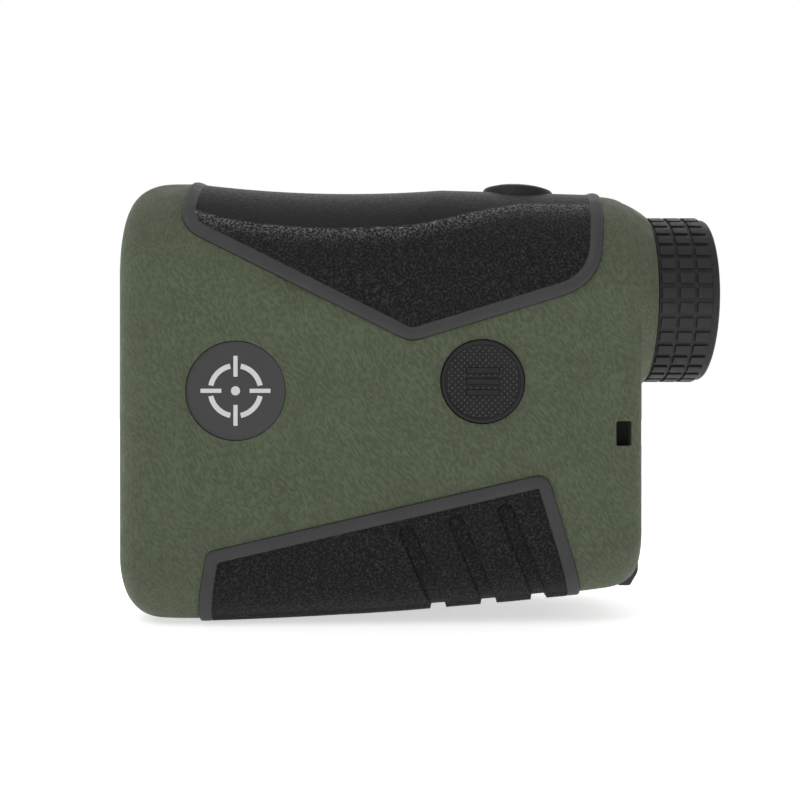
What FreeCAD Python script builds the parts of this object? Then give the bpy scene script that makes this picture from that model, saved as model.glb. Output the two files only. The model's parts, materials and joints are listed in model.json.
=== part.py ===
"""Hand-held monocular laser rangefinder, as an assembly of separate pieces.

Frame: +Z up, objective end at -X, eyepiece at +X, mode button and badge on the -Y side.
The origin is under the middle of the body, at the height of the lowest point of the lower grip.
"""
import FreeCAD
import Part
import Sketcher
import math
import os

doc = FreeCAD.newDocument("Rangefinder")

# ---------------------------------------------------------------- driving dimensions (mm)
DIMENSIONS = {
    # body
    "body_length": 87.9,        # objective face to rear face
    "body_height": 76.0,        # at the objective end
    "half_width": 19.6,         # at the objective end
    "width_taper": 1.2,         # half width lost by the rear face
    "top_drop": 2.62,           # crown height lost by the rear face
    "belly_slope": 0.6,         # linear rise of the underside
    "belly_rise": 5.1,          # quadratic rise of the underside
    "belly_radius": 8.0,        # lower edge rounding
    "nose_depth": 10.0,         # length of the rounding at the objective end
    "nose_inset": 11.0,         # how far that rounding pulls the section in
    "tail_depth": 7.5,
    "tail_inset": 5.5,
    "wall": 2.8,
    "axis_drop": 20.9,          # crown to optical axis
    "collar_length": 2.8,
    "collar_radius": 15.0,
    "collar_arc": 16.3,         # side profile radius of the shoulder above the collar
    "collar_bore": 13.95,
    "joint_gap": 0.05,          # between pieces that touch but come apart
    "slip": 0.15,               # clearance round inset pieces
    # grips
    "grip_proud": 0.6,
    "grip_seat": 1.6,           # depth of the grip's bed below the body surface
    "panel_sink": 0.35,
    "border": 2.15,
    "saddle_depth": 1.25,
    "saddle_middle": 38.6,      # lowest point, from the objective face
    "saddle_radius": 22.0,      # across the body
    "saddle_sweep": 210.0,      # along the body
    "finger_width": 2.45,
    "finger_depth": 0.57,
    "finger_pitch": 8.03,
    # badge, buttons, lanyard
    "badge_radius": 8.12,
    "badge_thick": 0.8,
    "badge_sink": 0.15,
    "mode_radius": 6.8,
    "mode_proud": 0.6,
    "power_radius": 6.35,
    "power_tilt": 3.4,          # degrees, follows the slope of the crown
    "power_dome": 1.3,
    "flange_thick": 0.6,
    "flange_play": 0.2,         # between the flange and the wall it comes up against
    "flange_reach": 0.8,        # how far a cap's flange reaches under the wall
    "switch_half": 3.0,         # half the side of a tact switch
    "plunger_radius": 1.5,
    "mode_lip": 0.6,            # width of the raised lip round the cap
    "mode_field_sink": 0.25,
    "lanyard_width": 2.6,
    "lanyard_height": 4.1,
    "lanyard_depth": 4.4,
    # objective optics
    "bezel_half_width": 13.6,
    "bezel_sink": 0.3,
    "bezel_thick": 4.8,
    "bezel_drop": 28.1,         # between the centres of the bezel's two round ends
    "hood_radius": 11.7,
    "objective_radius": 11.2,
    "barrel_radius": 13.2,
    "barrel_length": 31.4,
    "emitter_drop": 30.1,       # optical axis to laser axis
    "emitter_radius": 7.1,
    "emitter_tube_radius": 8.2,
    "emitter_tube_length": 22.0,
    # prism block
    "housing_length": 27.5,
    "housing_height": 22.2,
    "housing_clear": 5.8,       # between the body wall and the prism block
    "housing_wall": 2.2,
    "cover_thick": 1.0,
    "cover_inset": 1.2,         # top and bottom edges of the cover, inside the block's
    "prism_play": 0.3,          # between the prisms and the block's wall
    # display and boards
    "board_thick": 1.2,
    "lcd_size": 15.0,
    "lcd_thick": 1.2,
    # eyepiece
    "ring_gap": 0.3,
    "ring_length": 10.2,
    "ring_neck": 4.6,           # length that runs inside the collar
    "neck_radius": 13.75,
    "ring_core_radius": 13.7,
    "seal_section": 0.34,       # radius of the seal's cord
    "sleeve_base_radius": 14.27,
    "pad_radius": 14.66,
    "pad_columns": 3,
    "pad_rows": 36,
    "pad_length": 2.35,
    "pad_pitch": 3.0,
    "pad_gap": 0.85,
    "pad_start": 0.4,           # plain band ahead of the first pads
    "eyecup_length": 1.4,
    "eyecup_opening": 10.6,
    "sleeve_outer": 12.4,
    "sleeve_inner": 11.2,
    "running_fit": 0.05,
    "cell_radius": 11.15,
    "eye_lens_radius": 9.9,
    "field_lens_radius": 9.4,
    "pin_radius": 0.6,
    "cell_travel": 1.0,         # each way from the middle
    # battery
    "battery_radius": 7.8,
    "battery_length": 27.0,
    "battery_height": 20.0,     # axis above the base
    "tube_wall": 1.1,
    "door_half_width": 10.8,
    "door_thick": 1.7,
    "door_top": 31.0,
    "hinge_inset": 2.4,         # from the rear face
    "hinge_height": 7.65,
    "hinge_pin_radius": 0.55,
    "hinge_pin_reach": 0.9,     # past each side of the door
    "knuckle_radius": 1.5,
    "knuckle_length": 4.5,
    "door_swing_radius": 2.33,  # room round the hinge for the door's lower edge
    # screws
    "screw_radius": 1.0,
    "screw_head_radius": 1.9,
    "boss_radius": 3.0,
}

sheet = doc.addObject("Spreadsheet::Sheet", "Dims")
for row, (word, number) in enumerate(DIMENSIONS.items(), start=1):
    sheet.set(f"A{row}", word)
    sheet.set(f"B{row}", str(number))
    sheet.setAlias(f"B{row}", word)
doc.recompute()


class Size:
    """A length with its present value and the sheet expression that drives it."""

    def __init__(self, value, text):
        self.value = value
        self.text = text

    def _join(self, other, sign, value, swap=False):
        text = other.text if isinstance(other, Size) else repr(float(other))
        pair = (text, self.text) if swap else (self.text, text)
        return Size(value, f"({pair[0]} {sign} {pair[1]})")

    def __float__(self):
        return float(self.value)

    def __add__(self, other):
        return self._join(other, "+", self.value + float(other))

    def __radd__(self, other):
        return self._join(other, "+", float(other) + self.value, swap=True)

    def __sub__(self, other):
        return self._join(other, "-", self.value - float(other))

    def __rsub__(self, other):
        return self._join(other, "-", float(other) - self.value, swap=True)

    def __mul__(self, other):
        return self._join(other, "*", self.value * float(other))

    def __rmul__(self, other):
        return self._join(other, "*", float(other) * self.value, swap=True)

    def __truediv__(self, other):
        return self._join(other, "/", self.value / float(other))

    def __neg__(self):
        return 0 - self


class Dimensions:
    """Gives each cell of the sheet as a Size."""

    def __getattr__(self, word):
        return Size(float(sheet.get(word)), f"Dims.{word}")


d = Dimensions()
ZERO = Size(0.0, "0")


def as_size(number):
    return number if isinstance(number, Size) else Size(float(number), repr(float(number)))


def bind(thing, path, size):
    """Drive one property of an object from the sheet."""
    thing.setExpression(path, as_size(size).text)


def place(thing, base=(0, 0, 0), axis="x", tilt=None):
    """Put an object's local X along the named axis, with its origin at base."""
    turns = {
        "x": FreeCAD.Rotation(),
        "-x": FreeCAD.Rotation(FreeCAD.Vector(0, 0, 1), 180),
        "y": FreeCAD.Rotation(FreeCAD.Vector(0, 0, 1), 90),
        "-y": FreeCAD.Rotation(FreeCAD.Vector(0, 0, 1), -90),
        "z": FreeCAD.Rotation(FreeCAD.Vector(0, 1, 0), -90),
        "-z": FreeCAD.Rotation(FreeCAD.Vector(0, 1, 0), 90),
    }
    turn = turns[axis]
    if tilt is not None:
        turn = FreeCAD.Rotation(FreeCAD.Vector(0, 1, 0), float(tilt)) * turn
    spot = FreeCAD.Vector(*[float(number) for number in base])
    thing.Placement = FreeCAD.Placement(spot, turn)
    for letter, number in zip("xyz", base):
        bind(thing, f"Placement.Base.{letter}", number)
    return thing


# ---------------------------------------------------------------- ways of making a piece
def plane_of(body, role):
    for feature in body.Origin.OriginFeatures:
        if feature.Role == role:
            return feature
    raise ValueError(role)


def draw_polygon(sketch, outline):
    """A closed outline whose corners are each held at sheet driven coordinates."""
    corners = [(as_size(u), as_size(v)) for u, v in outline]
    first = sketch.GeometryCount
    count = len(corners)
    for index, (u, v) in enumerate(corners):
        after_u, after_v = corners[(index + 1) % count]
        start = FreeCAD.Vector(float(u), float(v), 0)
        end = FreeCAD.Vector(float(after_u), float(after_v), 0)
        sketch.addGeometry(Part.LineSegment(start, end), False)
    for index in range(count):
        after = first + (index + 1) % count
        sketch.addConstraint(Sketcher.Constraint("Coincident", first + index, 2, after, 1))
    for index, (u, v) in enumerate(corners):
        for kind, size in (("DistanceX", u), ("DistanceY", v)):
            hold = Sketcher.Constraint(kind, -1, 1, first + index, 1, float(size))
            number = sketch.addConstraint(hold)
            if size.text.replace(".", "").replace("-", "").isdigit():
                continue
            bind(sketch, f"Constraints[{number}]", size)


def draw_circle(sketch, centre, radius):
    spot = FreeCAD.Vector(float(centre[0]), float(centre[1]), 0)
    number = sketch.addGeometry(Part.Circle(spot, FreeCAD.Vector(0, 0, 1), float(radius)), False)
    for kind, size in (("DistanceX", centre[0]), ("DistanceY", centre[1])):
        index = sketch.addConstraint(Sketcher.Constraint(kind, -1, 1, number, 3, float(size)))
        bind(sketch, f"Constraints[{index}]", size)
    index = sketch.addConstraint(Sketcher.Constraint("Radius", number, float(radius)))
    bind(sketch, f"Constraints[{index}]", radius)


def new_sketch(body, role, name):
    sketch = body.newObject("Sketcher::SketchObject", name)
    sketch.AttachmentSupport = [(plane_of(body, role), "")]
    sketch.MapMode = "FlatFace"
    return sketch


def turned(name, outline, base=(0, 0, 0), axis="x", tilt=None):
    """A piece turned about its local X axis from (distance along, radius) points."""
    body = doc.addObject("PartDesign::Body", name)
    sketch = new_sketch(body, "XZ_Plane", name + "_profile")
    draw_polygon(sketch, outline)
    turn = body.newObject("PartDesign::Revolution", name + "_turn")
    turn.Profile = sketch
    turn.ReferenceAxis = (sketch, ["H_Axis"])
    turn.Angle = 360
    sketch.Visibility = False
    return place(body, base, axis, tilt)


def prism(name, plane, outline, length, base=(0, 0, 0), holes=(), centred=True, axis="x", tilt=None):
    """A plate or block: an outline on one of the body's own planes, padded, with round holes."""
    body = doc.addObject("PartDesign::Body", name)
    sketch = new_sketch(body, plane, name + "_outline")
    draw_polygon(sketch, outline)
    for centre, radius in holes:
        draw_circle(sketch, centre, radius)
    pad = body.newObject("PartDesign::Pad", name + "_pad")
    pad.Profile = sketch
    pad.Midplane = centred
    bind(pad, "Length", length)
    sketch.Visibility = False
    return place(body, base, axis, tilt)


def block(name, length, width, height, base):
    """A box given by its size and its lowest corner."""
    box = doc.addObject("Part::Box", name)
    for path, size in (("Length", length), ("Width", width), ("Height", height)):
        bind(box, path, size)
    return place(box, base)


def rod(name, radius, length, base, direction="x", tilt=None):
    """A cylinder that starts at base and runs along the named direction."""
    cylinder = doc.addObject("Part::Cylinder", name)
    bind(cylinder, "Radius", radius)
    bind(cylinder, "Height", length)
    turns = {
        "x": FreeCAD.Rotation(FreeCAD.Vector(0, 1, 0), 90),
        "y": FreeCAD.Rotation(FreeCAD.Vector(1, 0, 0), -90),
        "z": FreeCAD.Rotation(),
    }
    turn = turns[direction]
    if tilt is not None:
        turn = FreeCAD.Rotation(FreeCAD.Vector(0, 1, 0), float(tilt)) * turn
    spot = FreeCAD.Vector(*[float(number) for number in base])
    cylinder.Placement = FreeCAD.Placement(spot, turn)
    for letter, number in zip("xyz", base):
        bind(cylinder, f"Placement.Base.{letter}", number)
    return cylinder


def ball(name, radius, base):
    sphere = doc.addObject("Part::Sphere", name)
    bind(sphere, "Radius", radius)
    return place(sphere, base)


def feature(name, shape):
    piece = doc.addObject("Part::Feature", name)
    piece.Shape = shape
    return piece


def joined(name, pieces):
    fuse = doc.addObject("Part::MultiFuse", name)
    fuse.Shapes = pieces
    return fuse


def grouped(name, pieces):
    """Several separate solids kept as one node."""
    group = doc.addObject("Part::Compound", name)
    group.Links = pieces
    return group


def cut(name, base, tools):
    result = doc.addObject("Part::Cut", name)
    result.Base = base
    result.Tool = tools[0] if len(tools) == 1 else joined(name + "_tools", tools)
    return result


def common(name, first, second):
    result = doc.addObject("Part::Common", name)
    result.Base = first
    result.Tool = second
    return result


# ---------------------------------------------------------------- stations and levels
TOTAL = d.body_length + d.collar_length + d.ring_gap + d.ring_length
FRONT = -TOTAL / 2
REAR = FRONT + d.body_length
COLLAR_END = REAR + d.collar_length
RING_START = COLLAR_END + d.ring_gap
RING_END = RING_START + d.ring_length
TOP = d.body_height
AXIS = TOP - d.axis_drop
LASER_AXIS = AXIS - d.emitter_drop
SIDE = d.half_width


def along(x):
    """Share of the body length passed at x."""
    return (float(x) - float(FRONT)) / float(d.body_length)


CROWN_SHARE = 0.75         # how much of an end's rounding the crown takes
BELLY_SHARE = 1.1


def section_at(x, inset, offset):
    """One closed cross-section: round crown, straight flanks, rounded lower edges."""
    share = along(x)
    half = half_width_at(x) - inset + offset
    crown = float(d.body_height) - float(d.top_drop) * share - CROWN_SHARE * inset + offset
    belly = belly_level(x) + BELLY_SHARE * inset - offset
    edge = max(1.0, float(d.belly_radius) - 0.6 * inset + offset)
    shoulder = crown - half
    bulge = edge * (1 - math.sqrt(0.5))

    def at(y, z):
        return FreeCAD.Vector(x, y, z)

    return Part.Wire([
        Part.Arc(at(-half, shoulder), at(0, crown), at(half, shoulder)).toShape(),
        Part.LineSegment(at(half, shoulder), at(half, belly + edge)).toShape(),
        Part.Arc(at(half, belly + edge), at(half - bulge, belly + bulge), at(half - edge, belly)).toShape(),
        Part.LineSegment(at(half - edge, belly), at(edge - half, belly)).toShape(),
        Part.Arc(at(edge - half, belly), at(bulge - half, belly + bulge), at(-half, belly + edge)).toShape(),
        Part.LineSegment(at(-half, belly + edge), at(-half, shoulder)).toShape(),
    ])


def half_width_at(x):
    return float(d.half_width) - float(d.width_taper) * along(x)


def belly_level(x):
    share = along(x)
    return 0.2 + float(d.belly_slope) * share + float(d.belly_rise) * share * share


def end_rounding(depth, inset, power):
    """Stations of a superelliptic end rounding: (distance from the end, inset of the section)."""
    shares = (0.0, 0.025, 0.08, 0.18, 0.35, 0.6, 1.0)
    return [(depth * share, inset * (1 - (1 - (1 - share) ** power) ** (1 / power))) for share in shares]


def envelope(offset):
    """The body's outer form, moved outwards by offset (inwards when negative)."""
    start = float(FRONT) - offset
    end = float(REAR) + offset
    nose = end_rounding(float(d.nose_depth), float(d.nose_inset), 2.7)
    tail = end_rounding(float(d.tail_depth), float(d.tail_inset), 3.1)
    stations = [(start + distance, inset) for distance, inset in nose]
    straight = (end - float(d.tail_depth)) - (start + float(d.nose_depth))
    for step in (0.25, 0.5, 0.75):
        stations.append((start + float(d.nose_depth) + step * straight, 0.0))
    stations += [(end - distance, inset) for distance, inset in reversed(tail)]
    wires = [section_at(x, inset, offset) for x, inset in stations]
    return Part.makeLoft(wires, True, False, False, 3)


def shoulder(offset):
    """The rear shoulder and collar, turned about the optical axis."""
    tip = float(d.collar_radius) + offset
    arc = float(d.collar_arc)
    end = float(COLLAR_END) + min(offset, 0.0)
    root_radius = half_width_at(float(COLLAR_END) - 10.4) + offset
    drop = root_radius - tip
    reach = math.sqrt(arc * arc - (arc - drop) ** 2)
    start = end - reach
    middle = 0.55 * reach
    fall = arc - math.sqrt(arc * arc - middle * middle)
    back = start - 6.0
    axis = float(AXIS)

    def at(x, radius):
        return FreeCAD.Vector(x, 0, axis + radius)

    outline = Part.Wire([
        Part.LineSegment(at(back, 0), at(back, root_radius - 1.0)).toShape(),
        Part.LineSegment(at(back, root_radius - 1.0), at(start, root_radius)).toShape(),
        Part.Arc(at(start, root_radius), at(start + middle, root_radius - fall), at(end, tip)).toShape(),
        Part.LineSegment(at(end, tip), at(end, 0)).toShape(),
        Part.LineSegment(at(end, 0), at(back, 0)).toShape(),
    ])
    return Part.Face(outline).revolve(FreeCAD.Vector(0, 0, axis), FreeCAD.Vector(1, 0, 0), 360)


def flat_outline(corners, y=0.0):
    """A closed wire in the XZ plane from (x, z, rounding radius) corners."""
    points = [FreeCAD.Vector(float(x), y, float(z)) for x, z, radius in corners]
    edges = []
    trims = []
    for index, (x, z, radius) in enumerate(corners):
        here = points[index]
        before = (points[index - 1] - here).normalize()
        after = (points[(index + 1) % len(points)] - here).normalize()
        if radius <= 0:
            trims.append((here, here))
            continue
        half_angle = before.getAngle(after) / 2
        reach = radius / math.tan(half_angle)
        middle = (before + after).normalize() * (radius / math.sin(half_angle) - radius)
        first = here + before * reach
        last = here + after * reach
        trims.append((first, last))
        edges.append(Part.Arc(first, here + middle, last).toShape())
    for index in range(len(trims)):
        start = trims[index][1]
        end = trims[(index + 1) % len(trims)][0]
        if start.distanceToPoint(end) > 1e-6:
            edges.append(Part.LineSegment(start, end).toShape())
    return Part.Wire(Part.__sortEdges__(edges))


def inset_corners(corners, distance, radii):
    """The same outline moved inwards by distance; corners run clockwise seen from -Y."""
    moved = []
    count = len(corners)
    spots = [FreeCAD.Vector(float(x), float(z), 0) for x, z, radius in corners]
    for index in range(count):
        here = spots[index]
        inward = (here - spots[index - 1]).normalize()
        outward = (spots[(index + 1) % count] - here).normalize()
        normal_in = FreeCAD.Vector(-inward.y, inward.x, 0)
        normal_out = FreeCAD.Vector(-outward.y, outward.x, 0)
        bisector = normal_in + normal_out
        shift = bisector * (distance / (1 + normal_in.dot(normal_out)))
        spot = here + shift
        moved.append((spot.x, spot.y, radii[index]))
    return moved


def slab_y(wire, reach=40.0):
    """The wire's area extruded across the whole width of the body."""
    face = Part.Face(wire)
    face.translate(FreeCAD.Vector(0, -reach, 0))
    return face.extrude(FreeCAD.Vector(0, 2 * reach, 0))


# ---------------------------------------------------------------- outlines of the grips
def top_grip_corners():
    """Side view of the upper grip: a shallow V whose point hangs below the optical axis."""
    left = float(FRONT) + 11.2
    right = float(REAR) - 7.9
    tip = (left + 0.553 * (right - left), float(AXIS) - 8.5)
    return [
        (left, float(TOP) + 8.0, 0),
        (left, float(AXIS) + 10.45, 5.5),
        (tip[0], tip[1], 4.0),
        (right, float(AXIS) + 0.9, 9.2),
        (right + 4.0, float(TOP) + 8.0, 0),
    ]


def bottom_grip_corners():
    """Side view of the lower grip: a wedge that widens towards the eyepiece."""
    left = float(FRONT) + 16.0
    right = float(REAR) - 16.3
    level = belly_level(left)
    return [
        (left, level + 12.0, 1.5),
        (left - 3.3, level - 7.0, 0),
        (right + 9.7, level - 7.0, 0),
        (right, level + 24.8, 2.2),
    ]


def finger_groove(index):
    """Leaning slot outline of one finger groove; the slots step up towards the rear."""
    half = float(d.finger_width) / 2
    foot = FreeCAD.Vector(0.385, 0, -0.923)
    side = FreeCAD.Vector(0.923, 0, 0.385)
    corner = bottom_grip_corners()[3]
    head_x = corner[0] - 22.93 + float(d.finger_pitch) * index
    head_z = corner[1] - 9.8 + 1.77 * index
    head = FreeCAD.Vector(head_x, 0, head_z)
    first = head - side * half
    last = head + side * half
    reach = foot * 26.0
    return Part.Wire([
        Part.Arc(last, head - foot * half, first).toShape(),
        Part.LineSegment(first, first + reach).toShape(),
        Part.LineSegment(first + reach, last + reach).toShape(),
        Part.LineSegment(last + reach, last).toShape(),
    ])


def saddle(sink):
    """The long shallow saddle of the crown, as the ring shaped tube that holds everything below it."""
    tube = float(d.saddle_radius) - sink
    sweep = float(d.saddle_sweep) + float(d.saddle_radius)
    share = 0.39
    middle = float(FRONT) + float(d.saddle_middle)
    crown = float(TOP) - float(d.top_drop) * share + float(d.grip_proud) - float(d.saddle_depth)
    centre = FreeCAD.Vector(middle, 0, crown + float(d.saddle_sweep))
    ring = Part.makeTorus(sweep, tube, centre, FreeCAD.Vector(0, 1, 0))
    return ring


def underside_line():
    """Side view of the grip's underside: two straight facets, the front one starting at height zero."""
    start = float(FRONT) + 13.9
    bend = float(FRONT) + 44.1
    end = float(REAR) - 11.1
    base = belly_level(start)
    slope = (belly_level(end) - belly_level(bend)) / (end - bend)
    beyond = 20.0
    return [
        (start - beyond, 0.0),
        (start, 0.0),
        (bend, belly_level(bend) - base),
        (end + beyond, belly_level(end) - base + beyond * slope),
    ]


def above_underside(lift, height):
    """A solid over the whole width, from the underside facets raised by lift, of the given height."""
    low = [(x, z + lift, 0) for x, z in underside_line()]
    high = [(x, z + lift + height, 0) for x, z in reversed(underside_line())]
    return slab_y(flat_outline(low + high), 60.0)


# ---------------------------------------------------------------- shells
SHELL_SCREWS = (
    # (x, z) of each case screw; all run across the body
    (FRONT + 16.6, LASER_AXIS + 12.5),
    (FRONT + 10.6, LASER_AXIS - 16.0),
    (FRONT + 42.6, LASER_AXIS - 14.5),
    (REAR - 10.3, AXIS - 20.1),
    (FRONT + 48.6, TOP - 6.4),
)
BOARD_TOP = AXIS - 9.0
BOARD_BASE = AXIS - 24.6
BOARD_FRONT = FRONT + 34.6
BOARD_REAR = REAR - 13.8
BOARD_POSTS = ((BOARD_FRONT + 3, BOARD_BASE + 3), (BOARD_REAR - 3, BOARD_BASE + 3))
BUTTON_X = FRONT + d.body_length * 0.694
BUTTON_Z = AXIS - 14.9
WALL_AT_BUTTON = SIDE - d.width_taper * 0.69
BADGE_X = FRONT + 20.7
BADGE_Z = AXIS - 16.4
WALL_AT_BADGE = SIDE - d.width_taper * 0.24
LANYARD_X = REAR - 3.7
LANYARD_Z = AXIS - 23.4
WALL_AT_LANYARD = SIDE - d.width_taper * 0.95
POWER_X = FRONT + 68.2
POWER_BASE = AXIS + 14.1 - d.wall
DOOR_FACE = REAR + 0.3
DOOR_INNER = DOOR_FACE - d.door_thick
HINGE_X = REAR - d.hinge_inset
POWER_FLANGE = ZERO + 2.5        # underside of the power button's flange, above its board's foot
BATTERY_REAR = REAR - 4.1
BATTERY_FRONT = BATTERY_REAR - d.battery_length
HOUSING_HALF = d.half_width - d.wall - d.housing_clear


def bezel_outline(grow):
    """Front panel outline, two round ends and straight flanks, as a solid along X."""
    half = float(d.bezel_half_width) + grow
    upper = float(AXIS)
    lower = float(AXIS) - float(d.bezel_drop)
    x = float(FRONT) - 2.0

    def at(y, z):
        return FreeCAD.Vector(x, y, z)

    wire = Part.Wire([
        Part.Arc(at(-half, upper), at(0, upper + half), at(half, upper)).toShape(),
        Part.LineSegment(at(half, upper), at(half, lower)).toShape(),
        Part.Arc(at(half, lower), at(0, lower - half), at(-half, lower)).toShape(),
        Part.LineSegment(at(-half, lower), at(-half, upper)).toShape(),
    ])
    depth = 2.0 + float(d.bezel_sink) + float(d.bezel_thick)
    return Part.Face(wire).extrude(FreeCAD.Vector(depth, 0, 0))


def door_profile(grow):
    """Battery door: wraps the lower rear corner of the body, uniform across its width."""
    face = float(DOOR_FACE) + grow
    inner = float(DOOR_INNER) - grow
    floor = belly_level(float(REAR) - 3.0) + 0.05 - grow
    front = float(HINGE_X) - 0.7 - grow
    top = float(d.door_top) + grow
    corners = [
        (face, top, 0.5),
        (face, floor + 6.5, 6.0),
        (face - 0.15, floor + 2.3, 2.2),
        (face - 1.5, floor, 0.5),
        (front, floor, 0),
        (front, floor + 1.4, 0),
        (inner, floor + 1.4, 0),
        (inner, top, 0),
    ]
    half = float(d.door_half_width) + grow
    return slab_y(flat_outline(corners), half)


def interior():
    """The hollow of the body, with ribs that carry the optics and bosses for the screws left in."""
    hollow = envelope(-float(d.wall))
    hollow = hollow.fuse(shoulder(-float(d.wall)).common(
        Part.makeBox(60, 60, 60, FreeCAD.Vector(float(REAR) - 25.0, -30, float(AXIS) - 30))))
    solid = []
    front_rib = Part.makeBox(2.0, 60, 90, FreeCAD.Vector(float(FRONT) + 7.2, -30, -5))
    rear_rib = Part.makeBox(2.0, 60, 32, FreeCAD.Vector(float(REAR) - 9.9, -30, float(AXIS) - 14.0))
    solid += [front_rib, rear_rib]
    for x, z in SHELL_SCREWS:
        post = Part.makeCylinder(float(d.boss_radius), 60, FreeCAD.Vector(float(x), -30, float(z)),
                                 FreeCAD.Vector(0, 1, 0))
        solid.append(post)
    for x, z in BOARD_POSTS:
        back = float(WALL_AT_BUTTON) - 5.47
        post = Part.makeCylinder(1.8, 30, FreeCAD.Vector(float(x), -back, float(z)),
                                 FreeCAD.Vector(0, -1, 0))
        solid.append(post)
    kept = solid[0].multiFuse(solid[1:])
    openings = [
        Part.makeCylinder(float(d.barrel_radius) + 0.05, 60, FreeCAD.Vector(float(FRONT), 0, float(AXIS)),
                          FreeCAD.Vector(1, 0, 0)),
        Part.makeCylinder(float(d.emitter_tube_radius) + 0.05, 30,
                          FreeCAD.Vector(float(FRONT), 0, float(LASER_AXIS)), FreeCAD.Vector(1, 0, 0)),
        Part.makeCylinder(float(d.sleeve_outer) + 0.05, 30, FreeCAD.Vector(float(REAR) - 12, 0, float(AXIS)),
                          FreeCAD.Vector(1, 0, 0)),
    ]
    kept = kept.cut(openings[0].multiFuse(openings[1:]))
    return hollow.cut(kept)


def collar_cavity():
    """The bore of the collar, wide enough for the ring's neck, and open to the rear."""
    start = float(COLLAR_END) - 5.0
    return Part.makeCylinder(float(d.collar_bore), 20, FreeCAD.Vector(start, 0, float(AXIS)),
                             FreeCAD.Vector(1, 0, 0))


def sleeve_bore():
    return Part.makeCylinder(float(d.sleeve_outer) + 0.05, 20,
                             FreeCAD.Vector(float(REAR) - 8.0, 0, float(AXIS)), FreeCAD.Vector(1, 0, 0))


def battery_bore():
    radius = float(d.battery_radius) + 0.2 + float(d.tube_wall) + 0.05
    return Part.makeCylinder(radius, 12, FreeCAD.Vector(float(REAR) - 8, 0, float(d.battery_height)),
                             FreeCAD.Vector(1, 0, 0))


def hinge_cavity():
    """Room for the door's lower edge to swing round the hinge pin."""
    half = float(d.door_half_width) + float(d.slip)
    pivot = FreeCAD.Vector(float(HINGE_X), 0, float(d.hinge_height))
    across = FreeCAD.Vector(0, 1, 0)
    room = Part.makeCylinder(float(d.door_swing_radius), 2 * half, pivot - across * half, across)
    pin_half = float(d.door_half_width) + float(d.hinge_pin_reach)
    pin = Part.makeCylinder(float(d.hinge_pin_radius) + 0.01, 2 * pin_half + 0.1,
                            pivot - across * (pin_half + 0.05), across)
    return room.fuse(pin)


def gasket_groove():
    """Ring groove round the battery mouth that holds the door's seal."""
    inner = float(d.battery_radius) + 0.2 + float(d.tube_wall) + 0.15
    foot = FreeCAD.Vector(float(DOOR_INNER) - 0.53, 0, float(d.battery_height))
    outer = Part.makeCylinder(inner + 0.9, 2.0, foot, FreeCAD.Vector(1, 0, 0))
    return outer.cut(Part.makeCylinder(inner, 2.0, foot, FreeCAD.Vector(1, 0, 0)))


def lanyard_seat():
    """Pocket in the left shell that the lanyard insert sits in."""
    low, size = lanyard_block_box()
    grow = 0.05
    return Part.makeBox(*[float(length) + 2 * grow for length in size],
                        FreeCAD.Vector(*[float(number) - grow for number in low]))


def tilted_rod(radius, low, high):
    """A cylinder on the power button's axis, between two heights above its board."""
    lean = math.radians(float(d.power_tilt))
    up = FreeCAD.Vector(math.sin(lean), 0, math.cos(lean))
    foot = FreeCAD.Vector(float(POWER_X), 0, float(POWER_BASE))
    return Part.makeCylinder(radius, high - low, foot + up * low, up)


def shell_cutters():
    """Everything that opens the body's wall, other than the grip beds."""
    reach = float(d.half_width) + 5.0
    mode_hole = Part.makeCylinder(float(d.mode_radius) + float(d.slip), 12,
                                  FreeCAD.Vector(float(BUTTON_X), -reach, float(BUTTON_Z)),
                                  FreeCAD.Vector(0, 1, 0))
    badge_floor = float(WALL_AT_BADGE) - float(d.badge_sink) - float(d.badge_thick) - 0.05
    badge_bed = Part.makeCylinder(float(d.badge_radius) + 0.06, reach - badge_floor,
                                  FreeCAD.Vector(float(BADGE_X), -reach, float(BADGE_Z)),
                                  FreeCAD.Vector(0, 1, 0))
    power_hole = tilted_rod(float(d.power_radius) + float(d.slip), 2.6, 14.0)
    slot = lanyard_slot()
    tools = [mode_hole, badge_bed, power_hole, slot, battery_bore(), hinge_cavity()]
    tools += [gasket_groove(), lanyard_seat()]
    tools += [collar_cavity(), sleeve_bore(), bezel_outline(float(d.slip)), door_profile(float(d.slip))]
    return tools[0].multiFuse(tools[1:])


def lanyard_slot():
    """Cord passage: in at the side, round a pillar, and out of the rear face."""
    half_width = float(d.lanyard_width) / 2
    half_height = float(d.lanyard_height) / 2
    floor = float(WALL_AT_LANYARD) - float(d.lanyard_depth)
    entry = Part.makeBox(2 * half_width, 12, 2 * half_height,
                         FreeCAD.Vector(float(LANYARD_X) - half_width, -floor - 12,
                                        float(LANYARD_Z) - half_height))
    upright = [edge for edge in entry.Edges if abs(edge.tangentAt(edge.FirstParameter).y) > 0.9]
    entry = entry.makeFillet(0.35, upright)
    passage = Part.makeBox(14, 1.6, 2 * half_height,
                           FreeCAD.Vector(float(LANYARD_X) - half_width, -floor - 1.6,
                                          float(LANYARD_Z) - half_height))
    return entry.fuse(passage)


def screw_holes(side):
    """Counterbored through holes on the +Y side, blind thread holes on the -Y side."""
    holes = []
    for x, z in SHELL_SCREWS:
        foot = FreeCAD.Vector(float(x), 0, float(z))
        if side > 0:
            through = Part.makeCylinder(float(d.screw_radius) + 0.1, 30, foot, FreeCAD.Vector(0, 1, 0))
            seat = foot + FreeCAD.Vector(0, 5.0, 0)
            head = Part.makeCylinder(float(d.screw_head_radius) + 0.15, 30, seat, FreeCAD.Vector(0, 1, 0))
            holes += [through, head]
        else:
            holes.append(Part.makeCylinder(float(d.screw_radius), 7.5, foot, FreeCAD.Vector(0, -1, 0)))
    return holes[0].multiFuse(holes[1:])


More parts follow.
